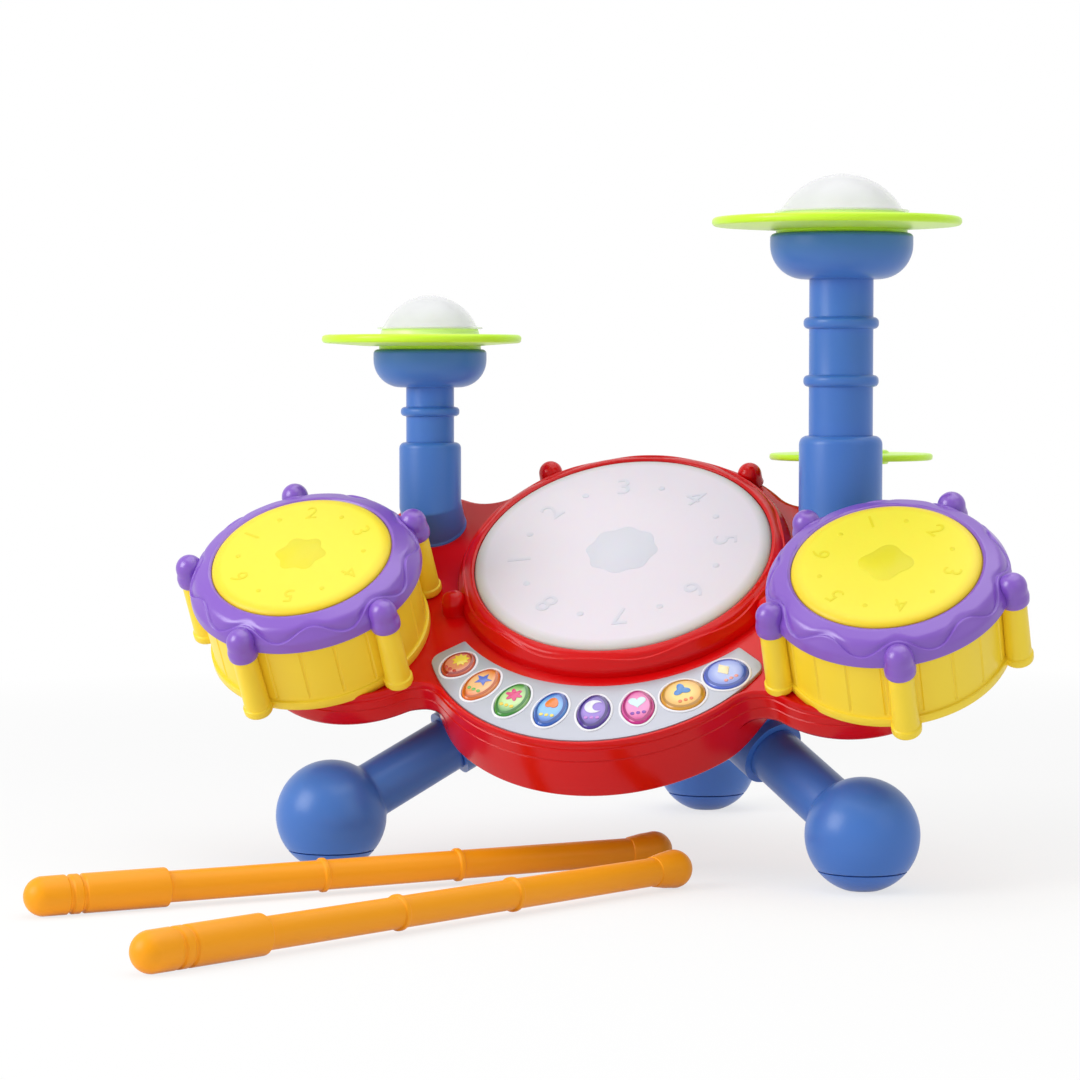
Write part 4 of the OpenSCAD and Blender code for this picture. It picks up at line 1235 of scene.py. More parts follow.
@dataclass(frozen=True)
class Hoop:
    """A hoop whose outer face stands proud below a wavy line."""

    face: Sequence[Point]
    inside: Sequence[Point]
    wave: Wave
    depth: float
    above: int = 14
    below: int = 12
    steps: int = 300
    probe: float = 0.3
    ledge: tuple[Point, ...] = (
        (-4.0, 0.0), (-3.0, -0.1), (-2.0, -0.4), (-1.2, -0.8), (-0.7, -1.0), (-0.4, -1.0), (-0.2, -0.7),
        (0.1, -0.1), (0.25, 0.1), (0.5, 0.2), (0.9, 0.15), (1.8, 0.0))

    def _at(self, way: float) -> Vector:
        """The point after a way down the face."""
        for a, b in zip(self.face, self.face[1:]):
            length = math.dist(a, b)
            if way <= length:
                break
            way -= length
        return Vector(a).lerp(Vector(b), way / length)

    def _column(self, turn: float) -> list[Vector]:
        """The face's points at one angle, from the crest to the lower edge."""
        line = self.wave.line(turn)
        total = sum(math.dist(a, b) for a, b in zip(self.face, self.face[1:]))
        first, last = line + self.ledge[0][0], line + self.ledge[-1][0]
        rows = [(first * k / self.above, 0.0) for k in range(self.above)]
        rows += [(line + off, self.depth * out) for off, out in self.ledge]
        rows += [(last + (total - last) * k / self.below, 0.0) for k in range(1, self.below + 1)]
        column = []
        for way, out in rows:
            ahead, behind = self._at(min(way + self.probe, total)), self._at(max(way - self.probe, 0.0))
            along = (ahead - behind).normalized()
            r, n = self._at(way) + Vector((-along.y, along.x)) * out
            column.append(Vector((*polar(r, turn), n)))
        return column

    def mesh(self) -> Mesh:
        """The hoop, turned about the Z axis."""
        turns = [FULL_TURN * k / self.steps for k in range(self.steps)]
        face = [list(ring) for ring in zip(*[self._column(t) for t in turns])]
        return hollow(face + [level([polar(r, t) for t in turns], n) for r, n in self.inside])


@dataclass
class MainDrum:
    """The large middle drum: red hoop with ball lugs and a pearl head."""

    head_r: float = 73.0
    hoop_r: float = 82.0
    crest_n: float = -1.0
    lip_n: float = -4.0
    deck_n: float = -11.0
    pocket_r: float = 76.1
    fit: float = 0.3
    lug_r: float = 6.0
    lug_ring: float = 85.5
    lug_turns: tuple[float, ...] = (53.0, -24.0, 204.0, 127.0)

    def hoop(self) -> Mesh:
        """The hoop with its wavy ledge and its lugs."""
        inner, crest, low = self.head_r + self.fit, self.crest_n, self.deck_n
        r, pocket, lip = self.hoop_r, self.pocket_r, self.lip_n
        face = rounded([(inner, crest - 0.8), (inner + 1.2, crest, 1.0), (r - 3.2, crest - 1.2, 3.0),
                        (r, crest - 5.8, 3.0), (r + 0.3, low + 2.2)])
        inside = [(r + 0.6, low + 1.8), (r + 0.6, low), (pocket, low), (pocket, lip), (inner, lip)]
        wave = Wave(middle=6.3, swing=1.1, waves=10, turn=math.radians(54))
        ring = Hoop(face, inside, wave, 0.7, above=7, below=6, steps=420).mesh()
        return joined(ring, *[self._lug(t) for t in self.lug_turns])

    def _lug(self, turn: float) -> Mesh:
        """One ball lug on its short neck."""
        r, low = self.lug_r, self.deck_n
        dome = half_ball(r, self.crest_n - r + 1, 9)
        profile = [(0.0, low), (r + 0.5, low), (r + 0.1, low + 1.5), *dome]
        return moved(revolve(profile, 40), turned(turn) @ shift(self.lug_ring, 0))

    def build(self, shop: Workshop) -> None:
        """Makes the hoop, the head and its marks."""
        body = STANCE.body
        centre = tuple(body.translation * MM)
        shop.piece("main_hoop", self.hoop(), body, RED, nodes=["main_drum_hoop"])
        head = Head(self.head_r, 0.0, self.lip_n, edge=6.0, drop=2.6)
        # The pearl head turns a darker grey-olive towards its edge: painted shade near the rim, where the
        # darkness under the translucent head shows through.
        rim = Rim((192, 190, 178), centre, 67 * MM, 74 * MM)
        pearl = Finish("pearl_satin", (228, 218, 228), gloss=0.4, drift=0.02, subsurface=0.25, rim=rim)
        shop.piece("main_head_plate", head.mesh(), body, pearl, "main_head", ["main_drum_head"])
        faint = Finish("pearl_marks", (224, 213, 224), gloss=0.38, subsurface=0.25)
        marks = head.marks("12345678", ring=50.0, size=17.0, first=100.0)
        shop.piece("main_head_numerals", marks, body, faint, "main_head")
        middle = head.centre_mark(scallop(17.0, 8, 0.05))
        shop.piece("main_head_middle", middle, body, faint, "main_head")


@dataclass
class SideDrum:
    """A side drum: amber shell with staves and posts, purple hoop with lug caps and a yellow head."""

    side: Side
    axis_u: float = 141.0
    axis_v: float = -57.0
    head_r: float = 43.7
    head_n: float = 41.3
    hoop_r: float = 56.5
    hoop_n: float = 39.9
    hoop_set: float = 0.8
    lip_n: float = 38.0
    seat_n: float = 33.1
    skirt_n: float = 26.3
    shell_r: float = 52.7
    wall: float = 2.5
    deck_n: float = -11.0
    fit: float = 0.3
    pocket_r: float = 46.8
    lugs: int = 5
    lug_turn: float = 66.5
    lug_ring: float = 58.0
    lug_r: float = 7.1
    lug_n: float = 32.7
    lug_foot_n: float = 23.6
    post_r: float = 6.1
    staves: int = 20
    groove: float = 0.75
    rim_w: float = 1.4
    rim_h: float = 4.8
    cut: tuple[Point, ...] = ((-0.9, 0.0), (-0.42, 0.85), (0.0, 1.0), (0.42, 0.85), (0.9, 0.0))
    stave_steps: int = 7
    middle_r: float = 11.5

    @property
    def place(self) -> Matrix:
        """From the right drum's own frame to the part's, mirrored on the left."""
        flip = Matrix.Diagonal((self.side.sign, 1, 1, 1))
        return STANCE.body @ flip @ shift(self.axis_u, self.axis_v)

    def at_lugs(self, build: Callable[[], Mesh]) -> list[Mesh]:
        """One mesh at each lug."""
        turns = [self.lug_turn + 360 * i / self.lugs for i in range(self.lugs)]
        return [moved(build(), turned(turn) @ shift(self.lug_ring, 0)) for turn in turns]

    def _shell_ring(self, radius: float, n: float, depth: float) -> Ring:
        """A ring of the shell with grooves between its staves."""
        points = []
        step = FULL_TURN / self.staves
        for k in range(self.staves):
            middle = math.radians(self.lug_turn) + (k + 0.5) * step
            turns = [(middle + x / radius, share) for x, share in self.cut]
            start, end = turns[-1][0], middle + step + self.cut[0][0] / radius
            turns += [(start + (end - start) * j / self.stave_steps, 0.0) for j in range(1, self.stave_steps)]
            points += [polar(radius - depth * share, turn) for turn, share in turns]
        return level(points, n)

    def shell(self) -> Mesh:
        """The shell with its foot rim, staves and posts."""
        r, inner, rim = self.shell_r, self.shell_r - self.wall, self.shell_r + self.rim_w
        low, top = self.deck_n, self.deck_n + self.rim_h
        seat, skirt = self.seat_n, self.skirt_n
        rows = [(inner, low + self.wall, 0), (inner, seat, 0), (r, seat, 0), (r, skirt, 0),
                (r, skirt - 0.3, 0), (r, skirt - 1.0, 1), (r, top + 2.0, 1), (r, top + 1.2, 0),
                (r, top + 0.5, 0), (r + 0.2, top + 0.1, 0), (rim - 0.5, top, 0), (rim - 0.1, top - 0.25, 0),
                (rim, top - 0.7, 0), (rim, low + 0.7, 0), (rim - 0.4, low, 0)]
        tube = block([self._shell_ring(radius, n, self.groove * cut) for radius, n, cut in rows])
        return joined(tube, *self.at_lugs(self._post))

    def _post(self) -> Mesh:
        """One post under a lug."""
        r, low, top = self.post_r, self.deck_n, self.lug_foot_n - 0.1
        corners = [(0, low), (r + 0.9, low, 2.0), (r + 0.9, low + 4.4, 0.6), (r + 0.1, low + 5.0, 0.4),
                   (r - 0.3, top), (0, top)]
        return revolve(rounded(corners), 36)

    def hoop(self) -> Mesh:
        """The hoop with its wavy ledge and its lug caps."""
        inner, skirt, low = self.head_r + self.fit, self.shell_r + self.fit, self.skirt_n
        edge, top = self.hoop_r, self.hoop_n
        face = rounded([(inner, top - 0.8), (inner + 1.2, top, 1.0), (edge - 4.5, top - 2.5, 5.0),
                        (edge - 0.3, top - 8.4, 4.0), (edge + 0.1, low + 0.6)])
        inside = [(edge - 0.15, low + 0.15), (edge - 0.6, low), (skirt, low), (skirt, self.seat_n),
                  (self.pocket_r, self.seat_n), (self.pocket_r, self.lip_n), (inner, self.lip_n)]
        wave = Wave(middle=11.85, swing=3.4, waves=2 * self.lugs, turn=math.radians(self.lug_turn), lift=0.5)
        return joined(Hoop(face, inside, wave, self.hoop_set).mesh(), *self.at_lugs(self._lug))

    def _lug(self) -> Mesh:
        """One lug cap: a ball on a bulging collar."""
        r, low = self.lug_r, self.lug_foot_n
        ball = r - 0.5
        corners = [(0, low), (r, low, 1.6), (r + 0.15, low + 4.0, 3.0), (ball, low + 7.0, 2.0)]
        return revolve(rounded(corners + half_ball(ball, self.lug_n, 10)), 40)

    def build(self, shop: Workshop) -> None:
        """Makes the shell, the hoop, the head and its marks."""
        name, place = self.side.value, self.place
        body, slot = f"{name}_head", "yellow_head"
        shop.piece(f"{name}_shell", self.shell(), place, AMBER, nodes=[f"{name}_drum_shell"])
        shop.piece(f"{name}_hoop", self.hoop(), place, PURPLE, nodes=[f"{name}_drum_hoop"])
        head = Head(self.head_r, self.head_n, self.lip_n, edge=5.0, drop=2.6)
        centre = tuple((place @ Vector((0, 0, self.head_n))) * MM)
        # The yellow head turns a deeper amber towards its edge: painted shade near the rim, as on the main
        # head.
        rim = Rim((246, 206, 30), centre, 38 * MM, 45 * MM)
        yellow = Finish(f"{name}_yellow_satin", (250, 234, 62), gloss=0.38, subsurface=0.2, rim=rim)
        shop.piece(f"{name}_head_plate", head.mesh(), place, yellow, body, [f"{name}_drum_head"])
        upright = STANCE.body @ shift(self.side.sign * self.axis_u, self.axis_v)
        faint = Finish("yellow_marks", (246, 223, 34), gloss=0.36, subsurface=0.2)
        first, lobes, depth = (20.0, 4, 0.12) if self.side is Side.RIGHT else (65.0, 6, 0.1)
        marks = head.marks("123456", ring=31.0, size=12.5, first=first)
        shop.piece(f"{name}_head_numerals", marks, upright, faint, body)
        middle = head.centre_mark(scallop(self.middle_r, lobes, depth))
        shop.piece(f"{name}_head_middle", middle, upright, faint, body)


@dataclass
class Tower:
    """A tower: socket with a mitred elbow, ribbed post, cup, struck cymbal and light dome."""

    side: Side
    socket_r: float
    socket_top: float
    post_r: float
    cup_z: float
    cup_r: float
    cup_h: float
    plate_r: float
    dome_h: float
    ribs: tuple[float, ...]
    rib_h: float
    axis_u: float = 104.0
    axis_v: float = 29.0
    deck_n: float = -11.0
    elbow_h: float = 15.0
    shoulder_gap: float = 0.5
    socket_depth: float = 22.0
    rib_out: float = 2.7
    wall: float = 2.5
    plate_t: float = 5.0
    plate_gap: float = 1.6
    plate_shift: float = 14.0
    rim_rise: float = 1.5
    skirt_h: float = 5.0
    skirt_w: float = 2.0
    fit: float = 0.3
    collar_h: float = 3.6
    collar_in: float = 4.0
    dome_t: float = 1.8
    crease: float = 1.2
    steps: int = 72
    bulb_r: float = 6.5

    @property
    def elbow(self) -> Vector:
        """Where the stub on the deck meets the upright tube."""
        spot = Vector((self.side.sign * self.axis_u, self.axis_v, self.deck_n + self.elbow_h))
        return STANCE.body @ spot

    @property
    def axis(self) -> Matrix:
        """The upright axis, heights as above the floor."""
        return shift(self.elbow.x, self.elbow.y)

    @property
    def plate_z(self) -> float:
        """Height of the plate's underside."""
        return self.cup_z + self.cup_h + self.plate_gap

    @property
    def collar_r(self) -> float:
        """Radius of the dome's collar."""
        return self.cup_r - self.collar_in

    def _upright_ring(self, radius: float, z: float) -> Ring:
        """A level ring round the upright axis."""
        return level(circle(radius, self.steps, (self.elbow.x, self.elbow.y)), z)

    def _stub_ring(self, radius: float, height: float) -> Ring:
        """A ring round the stub, square to the deck."""
        turn = STANCE.body.to_3x3()
        return [self.elbow + turn @ spot for spot in level(circle(radius, self.steps), height)]

    def _mitred(self, ring: Ring, way: Vector, back: float) -> Ring:
        """A ring slid along way on to the elbow's mitre, less a little for the soft crease."""
        mitre = (STANCE.up + Vector((0, 0, 1))).normalized()
        return [p + way * ((self.elbow - p).dot(mitre) / way.dot(mitre) + back) for p in ring]

    def socket(self) -> Mesh:
        """The socket with its elbow and rounded shoulder."""
        r, top, up = self.socket_r, self.socket_top, Vector((0, 0, 1))
        hole = self.post_r + 0.2
        shoulder = r - self.post_r - self.shoulder_gap
        stub, tube = self._stub_ring(r, 0), self._upright_ring(r, self.elbow.z)
        foot = ((0.5, 0), (0.4, 0.8), (0, 1.4))
        rings = [self._stub_ring(r + grow, height - self.elbow_h) for grow, height in foot]
        rings += [self._mitred(stub, STANCE.up, -self.crease * share) for share in (1, 0.3)]
        rings += [self._mitred(tube, up, self.crease * share) for share in (0.3, 1)]
        rings += [self._upright_ring(r - shoulder * into, top - shoulder * left) for into, left in quarter()]
        rings += [self._upright_ring(hole, z) for z in (top, top - self.socket_depth)]
        return block(rings)

    def post(self) -> Mesh:
        """The post with its ribs."""
        free, low = self.cup_z - self.socket_top, self.socket_top - self.socket_depth
        r, half = self.post_r, self.rib_h / 2
        out, bend = r + self.rib_out, half * 0.97
        corners = [(0, low), (r, low)]
        for share in self.ribs:
            z = self.socket_top + share * free
            corners += [(r, z - half - 0.4, 0.5), (out, z - half, bend), (out, z + half, bend),
                        (r, z + half + 0.4, 0.5)]
        corners += [(r, self.cup_z), (0, self.cup_z)]
        return revolve(rounded(corners), self.steps)

    def cup(self) -> Mesh:
        """The bowl under the cymbal."""
        r, z, top = self.cup_r, self.cup_z, self.cup_z + self.cup_h
        inner, floor, bend = r - self.wall, z + self.wall, r - self.post_r - 2
        corners = [(0, z), (self.post_r + 1, z), (r, z, bend * 0.97), (r, top, 2.2), (inner, top, 0.7),
                   (inner, floor, bend - self.wall), (0, floor)]
        return revolve(rounded(corners, steps=12), 96)

    def cymbal(self) -> Mesh:
        """The plate and the hollow skirt that guides it."""
        z, r, top = self.plate_z, self.plate_r, self.plate_z + self.plate_t
        plate = [(0, z), (self.cup_r, z, 20.0), (r, z + self.rim_rise, 1.9), (r, top + 0.5, 1.9),
                 (self.collar_r + 6, top + 0.8, 3.0), (0, top + 0.8)]
        disc = moved(revolve(rounded(plate), 128), shift(0, -self.plate_shift))
        outer, low = self.cup_r - self.wall - self.fit, z - self.skirt_h
        inner = outer - self.skirt_w
        skirt = [(inner, z + 1), (inner, low, 0.6), (outer, low, 0.6), (outer, z + 1)]
        return joined(disc, revolve(rounded(skirt), 96, closed=True))

    def collar(self) -> Mesh:
        """The pale ring that carries the dome."""
        z, r = self.plate_z + self.plate_t, self.collar_r
        top = z + self.collar_h
        ring = [(0, z - 0.5), (r + 1.2, z - 0.5), (r + 0.5, z + 0.8, 0.5), (r, top - 0.8, 0.4),
                (r - 0.5, top), (0, top)]
        return revolve(rounded(ring), 96)

    def dome(self) -> Mesh:
        """The clear dome with its thin flange."""
        r, h = self.collar_r - 0.6, self.dome_h
        z = self.plate_z + self.plate_t + self.collar_h
        ball = (r * r + h * h) / (2 * h)
        middle = z + h - ball
        thin = ball - self.dome_t
        outer = arc((0, middle), ball, math.pi / 2, math.acos(r / ball), 16)
        inner = arc((0, middle), thin, math.acos((r - self.dome_t) / thin), math.pi / 2, 16)
        low = z + 0.05
        flange = [(r + 0.2, z + 0.9), (r + 2.6, z + 0.8), (r + 2.6, low), (r - self.dome_t, low)]
        return revolve(outer[:-1] + flange + inner[1:], 96)

    def reflector(self) -> Mesh:
        """The white dish and bulb under the dome."""
        z, r = self.plate_z + self.plate_t + self.collar_h, self.collar_r - 4.5
        bulb = half_ball(self.bulb_r, z + 1.2, 10)
        dish = [(0, z + 0.1), (r, z + 0.1), (r, z + 1.6), (r - 1, z + 1.9), (self.bulb_r + 2.5, z + 0.9)]
        return revolve(dish + bulb, self.steps)

    def build(self, shop: Workshop) -> None:
        """Makes the tower's pieces."""
        name, own = self.side.value, Matrix.Identity(4)
        blue, body = "blue_plastic", f"{name}_cymbal"
        shop.piece(f"{name}_socket", self.socket(), own, BLUE, nodes=[f"{name}_tower_socket"])
        shop.piece(f"{name}_post", self.post(), self.axis, BLUE, nodes=[f"{name}_tower_post"])
        shop.piece(f"{name}_cup", self.cup(), self.axis, BLUE, nodes=[f"{name}_cymbal_cup"])
        shop.piece(f"{name}_plate", self.cymbal(), self.axis, LIME, body,
                   [f"{name}_cymbal_plate"])
        shop.piece(f"{name}_collar", self.collar(), self.axis, LIME_PALE, body)
        shop.piece(f"{name}_reflector", self.reflector(), self.axis, BULB, body)
        shop.piece(f"{name}_dome", self.dome(), self.axis, CLEAR, body, [f"{name}_cymbal_dome"])


@dataclass
class RearCymbal:
    """The small cymbal on its arm behind the right tower."""

    tower: Tower
    back: float = 64.5
    inwards: float = 6.0
    plate_r: float = 41.0
    plate_t: float = 3.8
    plate_z: float = 196.0
    hub_r: float = 18.5
    hub_h: float = 7.0
    pin_r: float = 6.0
    gap: float = 1.6
    arm_w: float = 18.0
    arm_h: float = 9.0
    arm_edge: float = 2.0
    arm_in: float = 3.0
    pad_r: float = 14.0
    cover: float = 2.0
    travel: float = 1.2
    fit: float = 0.3

    @property
    def axis(self) -> Matrix:
        """The cymbal's upright axis."""
        return self.tower.axis @ shift(-self.inwards, self.back)

    def cymbal(self) -> Mesh:
        """The plate with its hub and the blind hole for the pin."""
        low, high = self.plate_z - self.hub_h / 2, self.plate_z + self.hub_h / 2
        under, over = self.plate_z - self.plate_t / 2, self.plate_z + self.plate_t / 2
        hole = self.pin_r + self.fit
        r, hub = self.plate_r, self.hub_r
        corners = [(0, high - self.cover), (hole, high - self.cover), (hole, low), (hub, low, 1.0),
                   (hub + 0.8, under, 0.6), (r, under + 0.4, 1.3), (r, over - 0.2, 1.3),
                   (hub + 0.8, over, 0.6), (hub, high, 1.4), (0, high)]
        return revolve(rounded(corners), 112)

    def arm(self) -> Mesh:
        """The arm from the socket to the pin."""
        top = self.plate_z - self.hub_h / 2 - self.gap
        reach = math.hypot(self.inwards, self.back)
        start, low = self.tower.socket_r - self.arm_in, top - self.arm_h
        bar = bmesh.new()
        bmesh.ops.create_cube(bar, size=1.0)
        bmesh.ops.scale(bar, vec=(reach - start, self.arm_w, self.arm_h), verts=bar.verts)
        bmesh.ops.translate(bar, vec=((reach + start) / 2, 0, top - self.arm_h / 2), verts=bar.verts)
        soften(bar, bar.edges, self.arm_edge, 4)
        moved(bar, turned(math.degrees(math.atan2(self.back, -self.inwards))))
        pin_top = self.plate_z + self.hub_h / 2 - self.cover - self.travel - 0.2
        corners = [(0, low), (self.pad_r, low, 2.0), (self.pad_r, top, 1.2), (self.pin_r, top, 0.4),
                   (self.pin_r, pin_top, 0.8), (0, pin_top)]
        return joined(bar, moved(revolve(rounded(corners), 56), shift(-self.inwards, self.back)))

    def build(self, shop: Workshop) -> None:
        """Makes the arm and the cymbal."""
        shop.piece("rear_arm", self.arm(), self.tower.axis, BLUE)
        shop.piece("rear_plate", self.cymbal(), self.axis, LIME, "back_cymbal",
                   ["rear_cymbal"])


@dataclass(frozen=True)
class Foot:
    """Where a ball foot stands and the place under the tub that its tube points to."""

    name: str
    x: float
    y: float
    seat_u: float
    seat_v: float


@dataclass
class Legs:
    """The three legs: ball feet on tubes that plug in under the tub."""

    ball_r: float = 26.7
    sole_d: float = 16.0
    pad_h: float = 9.0
    tube_r: float = 13.5
    spigot_r: float = 9.0
    spigot_l: float = 18.0
    collar_l: float = 20.0
    seat_n: float = -60.0
    groove: float = 0.5
    cut_edge: float = 0.35
    feet: tuple[Foot, ...] = (Foot("left", -129.2, -257.5, -66.0, -62.0),
                              Foot("right", 129.2, -257.5, 66.0, -62.0), Foot("rear", 0.0, 0.0, 0.0, 60.0))

    @property
    def ball_z(self) -> float:
        """Height of a ball's centre above its flat sole."""
        return math.sqrt(self.ball_r**2 - self.sole_d**2 / 4)

    def _ball(self, turn: float) -> Point:
        """A point on the ball's half profile, turn degrees from the tube."""
        return polar(self.ball_r, math.radians(90 - turn))

    def leg(self, ball: Vector, seat: Vector) -> Mesh:
        """A ball, its tube and the spigot, cut level where the pad begins.

        Args:
            ball: the ball's centre.
            seat: where the leg points to.

        Returns:
            The leg in the part's own frame.
        """
        way = seat - ball
        end = way.length - self.collar_l
        neck = math.degrees(math.asin(self.tube_r / self.ball_r))
        corners = [self._ball(t) for t in range(180, int(neck) + 7, -4)]
        spigot, tip = self.spigot_r, end + self.spigot_l
        corners += [(*self._ball(neck), 2.6), (self.tube_r - 0.2, end, 0.8), (spigot, end, 0.3),
                    (spigot, tip, 1.0), (0, tip)]
        bm = revolve(rounded(corners), 96)
        moved(bm, Matrix.Translation(ball) @ way.to_track_quat("Z", "Y").to_matrix().to_4x4())
        return self._cut(bm, self.pad_h + self.groove / 2, above=True)

    def pad(self, ball: Vector) -> Mesh:
        """The cap that closes a ball, with its flat sole."""
        bm = bmesh.new()
        bmesh.ops.create_uvsphere(bm, u_segments=96, v_segments=64, radius=self.ball_r)
        moved(bm, Matrix.Translation(ball))
        self._cut(bm, self.pad_h - self.groove / 2, above=False)
        return self._cut(bm, 0.0, above=True)

    def _cut(self, bm: Mesh, z: float, above: bool) -> Mesh:
        """Keeps what lies above or below a height, and closes the cut."""
        geom = bm.verts[:] + bm.edges[:] + bm.faces[:]
        made = bmesh.ops.bisect_plane(bm, geom=geom, dist=1e-4, plane_co=(0, 0, z), plane_no=(0, 0, 1),
                                      clear_inner=above, clear_outer=not above)
        rim = [g for g in made["geom_cut"] if isinstance(g, bmesh.types.BMEdge)]
        faces = bmesh.ops.edgeloop_fill(bm, edges=rim)["faces"]
        soften(bm, [edge for face in faces for edge in face.edges], self.cut_edge)
        bmesh.ops.recalc_face_normals(bm, faces=bm.faces)
        return bm

    def build(self, shop: Workshop) -> None:
        """Makes the legs and their pads."""
        own = Matrix.Identity(4)
        pads = []
        for foot in self.feet:
            ball = Vector((foot.x, foot.y, self.ball_z))
            seat = STANCE.body @ Vector((foot.seat_u, foot.seat_v, self.seat_n))
            shop.piece(f"{foot.name}_ball_leg", self.leg(ball, seat), own, BLUE,
                       nodes=[f"{foot.name}_leg"])
            pads.append(self.pad(ball))
        shop.piece("sole_pads", joined(*pads), own, BLUE, nodes=["foot_pads"])


@dataclass
class Drumstick:
    """A loose stick with a grooved grip, two rings and a bulb at its tip."""

    node: str
    body: str
    grip_x: float
    grip_y: float
    turn: float
    length: float = 316.0
    grip_r: float = 8.9
    grip_l: float = 66.0
    shaft_r1: float = 7.1
    shaft_r2: float = 6.5
    bulb_l: float = 14.0
    grooves: tuple[float, float] = (20.0, 26.0)
    rings: tuple[float, float] = (0.45, 0.667)
    ring_w: float = 2.4
    ring_out: float = 1.0

    def _shaft(self, z: float) -> float:
        """The tapered shaft's radius."""
        share = (z - self.grip_l) / (self.length - self.grip_l)
        return self.shaft_r1 + (self.shaft_r2 - self.shaft_r1) * share

    def mesh(self) -> Mesh:
        """The stick, from the end of its grip along Z."""
        g = self.grip_r
        corners = arc((0, g), g, math.radians(-90), math.radians(-6), 12)
        for z in self.grooves:
            cut = ((0, -1.3), (0.8, -0.5), (0.8, 0.5), (0, 1.3))
            corners += [(g - depth, z + along, 0.3) for depth, along in cut]
        corners += [(g, self.grip_l, 0.9), (self._shaft(self.grip_l), self.grip_l + 0.7, 0.3)]
        for share in self.rings:
            z, half = share * self.length, self.ring_w / 2
            r, out = self._shaft(z), self._shaft(z) + self.ring_out
            corners += [(r, z - half - 0.3, 0.3), (out, z - half + 0.2, 0.7), (out, z + half - 0.2, 0.7),
                        (r, z + half + 0.3, 0.3)]
        r, neck = self.shaft_r2, self.length - self.bulb_l
        corners += [(r, neck, 0.2), (r + 0.5, neck + 0.3, 0.2), (r + 1.7, neck + 7.0, 3.0)]
        corners += arc((0, self.length), g, math.radians(-14), math.radians(90), 13)
        return revolve(rounded(corners), 64)

    def build(self, shop: Workshop) -> None:
        """Makes the stick."""
        spot = shift(self.grip_x, STANCE.head_y + self.grip_y, self.grip_r)
        place = spot @ turned(self.turn) @ turned(90, "Y")
        shop.piece(f"{self.node}_body", self.mesh(), place, ORANGE, self.body, [self.node])


@dataclass
class Underside:
    """The openings in the tub's floor."""

    box_l: float = 53.5
    box_w: float = 47.0
    door_margin: float = 4.0
    door_v: float = -62.0
    gap: float = 0.2
    switch_u: float = 48.0
    switch_v: float = 46.0
    slot_l: float = 12.6
    slot_w: float = 4.6
    speaker_v: float = 12.0
    sound_rings: tuple[tuple[int, float], ...] = ((1, 0.0), (6, 8.0), (12, 16.0))
    sound_r: float = 1.6

    @staticmethod
    def _box(u: float, v: float, length: float, width: float) -> list[Point]:
        """A rectangle's outline with small round corners."""
        half_l, half_w = length / 2, width / 2
        signs = ((-1, -1), (1, -1), (1, 1), (-1, 1))
        return rounded([(u + a * half_l, v + b * half_w, 0.6) for a, b in signs], closed=True, steps=3)

    def holes(self) -> list[list[Point]]:
        """Outlines of the battery door, the switch's slot and the sound holes."""
        door = 2 * (self.door_margin + self.gap)
        found = [self._box(0, self.door_v, self.box_l + door, self.box_w + door),
                 self._box(self.switch_u, self.switch_v, self.slot_l, self.slot_w)]
        for count, radius in self.sound_rings:
            found += [circle(self.sound_r, 16, spot) for spot in circle(radius, count, (0, self.speaker_v))]
        return found


@dataclass(frozen=True)
class Lamp:
    """A square soft lamp that faces a target, in metres and watts."""

    name: str
    spot: Spot
    target: Spot
    size: float
    watts: float

    def build(self, scene: bpy.types.Scene) -> None:
        """Hangs the lamp."""
        data = bpy.data.lights.new(self.name, "AREA")
        data.size, data.energy = self.size, self.watts
        lamp = bpy.data.objects.new(self.name, data)
        lamp.location = self.spot
        lamp.rotation_euler = (Vector(self.target) - Vector(self.spot)).to_track_quat("-Z", "Y").to_euler()
        scene.collection.objects.link(lamp)


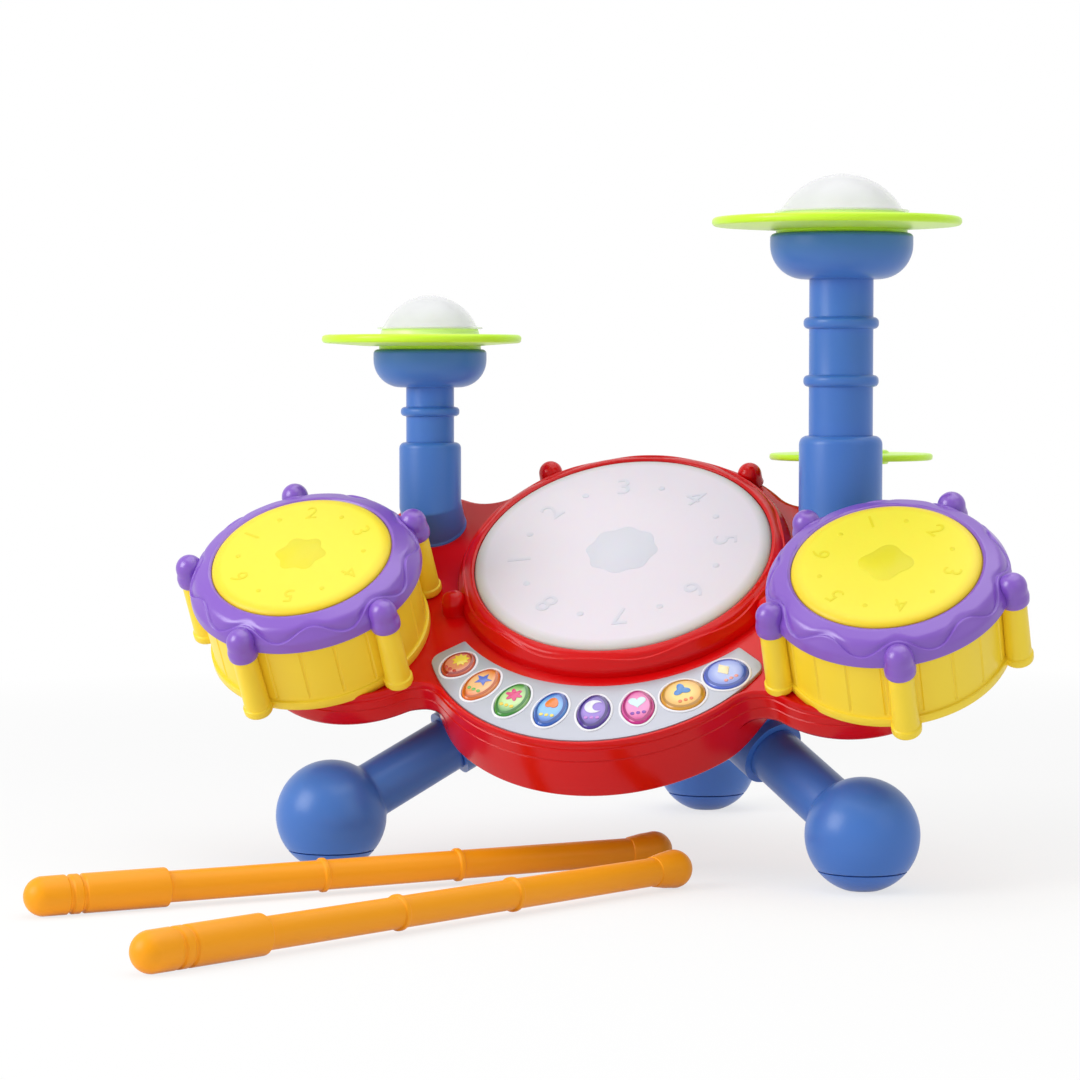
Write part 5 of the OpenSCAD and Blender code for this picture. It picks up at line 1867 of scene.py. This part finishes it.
@dataclass
class Studio:
    """The pale floor, soft lamps and the camera at the photograph's angle."""

    camera_at: Spot = (0.3796, -1.7591, 0.2406)
    camera_turn: Spot = (87.02, 0.0, 15.08)
    lens: float = 110.0
    sensor: float = 36.0
    far_clip: float = 50.0
    lamps: tuple[Lamp, ...] = (Lamp("key", (-1.3, -1.3, 0.9), (-0.1, -0.2, 0.1), 1.0, 18.0),
                               Lamp("fill", (1.5, -1.0, 0.9), (0.05, -0.2, 0.12), 1.0, 2.0),
                               Lamp("top", (0.25, -0.25, 1.75), (0.15, -0.2, 0.15), 2.0, 20.0))
    ambient: float = 0.33
    floor_half: float = 6.0
    floor_z: float = -0.2 * MM
    floor_grey: float = 0.92
    fade_from: Point = (0.3, 0.9)
    fade_to: Point = (0.7, 1.0)

    def build(self) -> None:
        """Sets the view, the camera, the lamps, the world and the floor."""
        scene = bpy.context.scene
        scene.view_settings.view_transform = "Standard"
        data = bpy.data.cameras.new("camera")
        data.lens, data.sensor_width, data.clip_end = self.lens, self.sensor, self.far_clip
        camera = bpy.data.objects.new("camera", data)
        camera.location = self.camera_at
        camera.rotation_euler = [math.radians(t) for t in self.camera_turn]
        scene.collection.objects.link(camera)
        scene.camera = camera
        for lamp in self.lamps:
            lamp.build(scene)
        self._world(scene)
        self._floor(scene)

    @staticmethod
    def _seen(kit: NodeKit) -> Socket:
        """1 for rays that show the background."""
        path = kit.add("ShaderNodeLightPath").outputs
        direct = kit.maths("MAXIMUM", path["Is Camera Ray"], path["Is Glossy Ray"])
        return kit.maths("MAXIMUM", direct, path["Is Transmission Ray"])

    def _world(self, scene: bpy.types.Scene) -> None:
        """White to look at, softer as a light."""
        world = bpy.data.worlds.new("studio")
        world.use_nodes = True
        scene.world = world
        kit = NodeKit(world.node_tree)
        soft = kit.tree.nodes["Background"]
        kit.feed(soft, {"Color": (1, 1, 1, 1), "Strength": self.ambient})
        white = kit.add("ShaderNodeBackground", {"Color": (1, 1, 1, 1), "Strength": 1.0})
        shown = kit.blend(self._seen(kit), soft, white)
        kit.feed(kit.tree.nodes["World Output"], {"Surface": shown.outputs[0]})

    def _floor(self, scene: bpy.types.Scene) -> None:
        bm = bmesh.new()
        bmesh.ops.create_grid(bm, x_segments=1, y_segments=1, size=self.floor_half)
        moved(bm, shift(0, 0, self.floor_z))
        mesh = bpy.data.meshes.new("floor")
        bm.to_mesh(mesh)
        bm.free()
        floor = bpy.data.objects.new("floor", mesh)
        scene.collection.objects.link(floor)
        material = bpy.data.materials.new("floor_white")
        material.use_nodes = True
        mesh.materials.append(material)
        kit = NodeKit(material.node_tree)
        kit.tree.nodes.remove(kit.tree.nodes["Principled BSDF"])
        paint = kit.add("ShaderNodeBsdfDiffuse", {"Color": (*[self.floor_grey] * 3, 1)})
        place = kit.add("ShaderNodeTexCoord").outputs["Object"]
        share = kit.ramp(kit.distance(place), self.fade_from, self.fade_to)
        shown = kit.blend(share, paint, kit.add("ShaderNodeEmission"))
        surface = kit.blend(self._seen(kit), paint, shown)
        kit.feed(kit.tree.nodes["Material Output"], {"Surface": surface.outputs[0]})
        floor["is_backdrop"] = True


def main() -> None:
    logging.basicConfig(level=logging.INFO, format="%(name)s: %(message)s")
    for old in list(bpy.data.objects):
        bpy.data.objects.remove(old)
    shop = Workshop()
    Studio().build()
    panel, casing = Panel(), Body()
    shop.piece("body_deck", casing.top_shell(panel.window()), STANCE.body, RED,
               nodes=["body_top_shell"])
    shop.piece("body_tub", casing.bottom_shell(Underside().holes()), STANCE.body, RED,
               nodes=["body_bottom_shell"])
    MainDrum().build(shop)
    ButtonRow(panel).build(shop)
    SideDrum(Side.LEFT, lug_turn=70.0).build(shop)
    SideDrum(Side.RIGHT).build(shop)
    low = Tower(Side.LEFT, socket_r=15.5, socket_top=203.6, post_r=12.0, cup_z=231.0, cup_r=28.3,
                cup_h=19.0, plate_r=49.5, dome_h=16.7, ribs=(0.56,), rib_h=4.0)
    tall = Tower(Side.RIGHT, socket_r=20.2, socket_top=208.0, post_r=15.5, cup_z=283.6, cup_r=34.5,
                 cup_h=22.0, plate_r=59.7, dome_h=18.5, ribs=(0.35, 0.72), rib_h=5.0)
    low.build(shop)
    tall.build(shop)
    RearCymbal(tall).build(shop)
    Legs().build(shop)
    Drumstick("lower_stick", "stick_low", grip_x=-112.7, grip_y=-353.1, turn=60.3).build(shop)
    Drumstick("upper_stick", "stick_high", grip_x=-212.3, grip_y=-234.5, turn=42.3).build(shop)
    shop.dress_nodes()
    shop.write_size()
    LOG.info("%d triangles in the dressed pieces", shop.triangles)


if __name__ == "__main__":
    main()
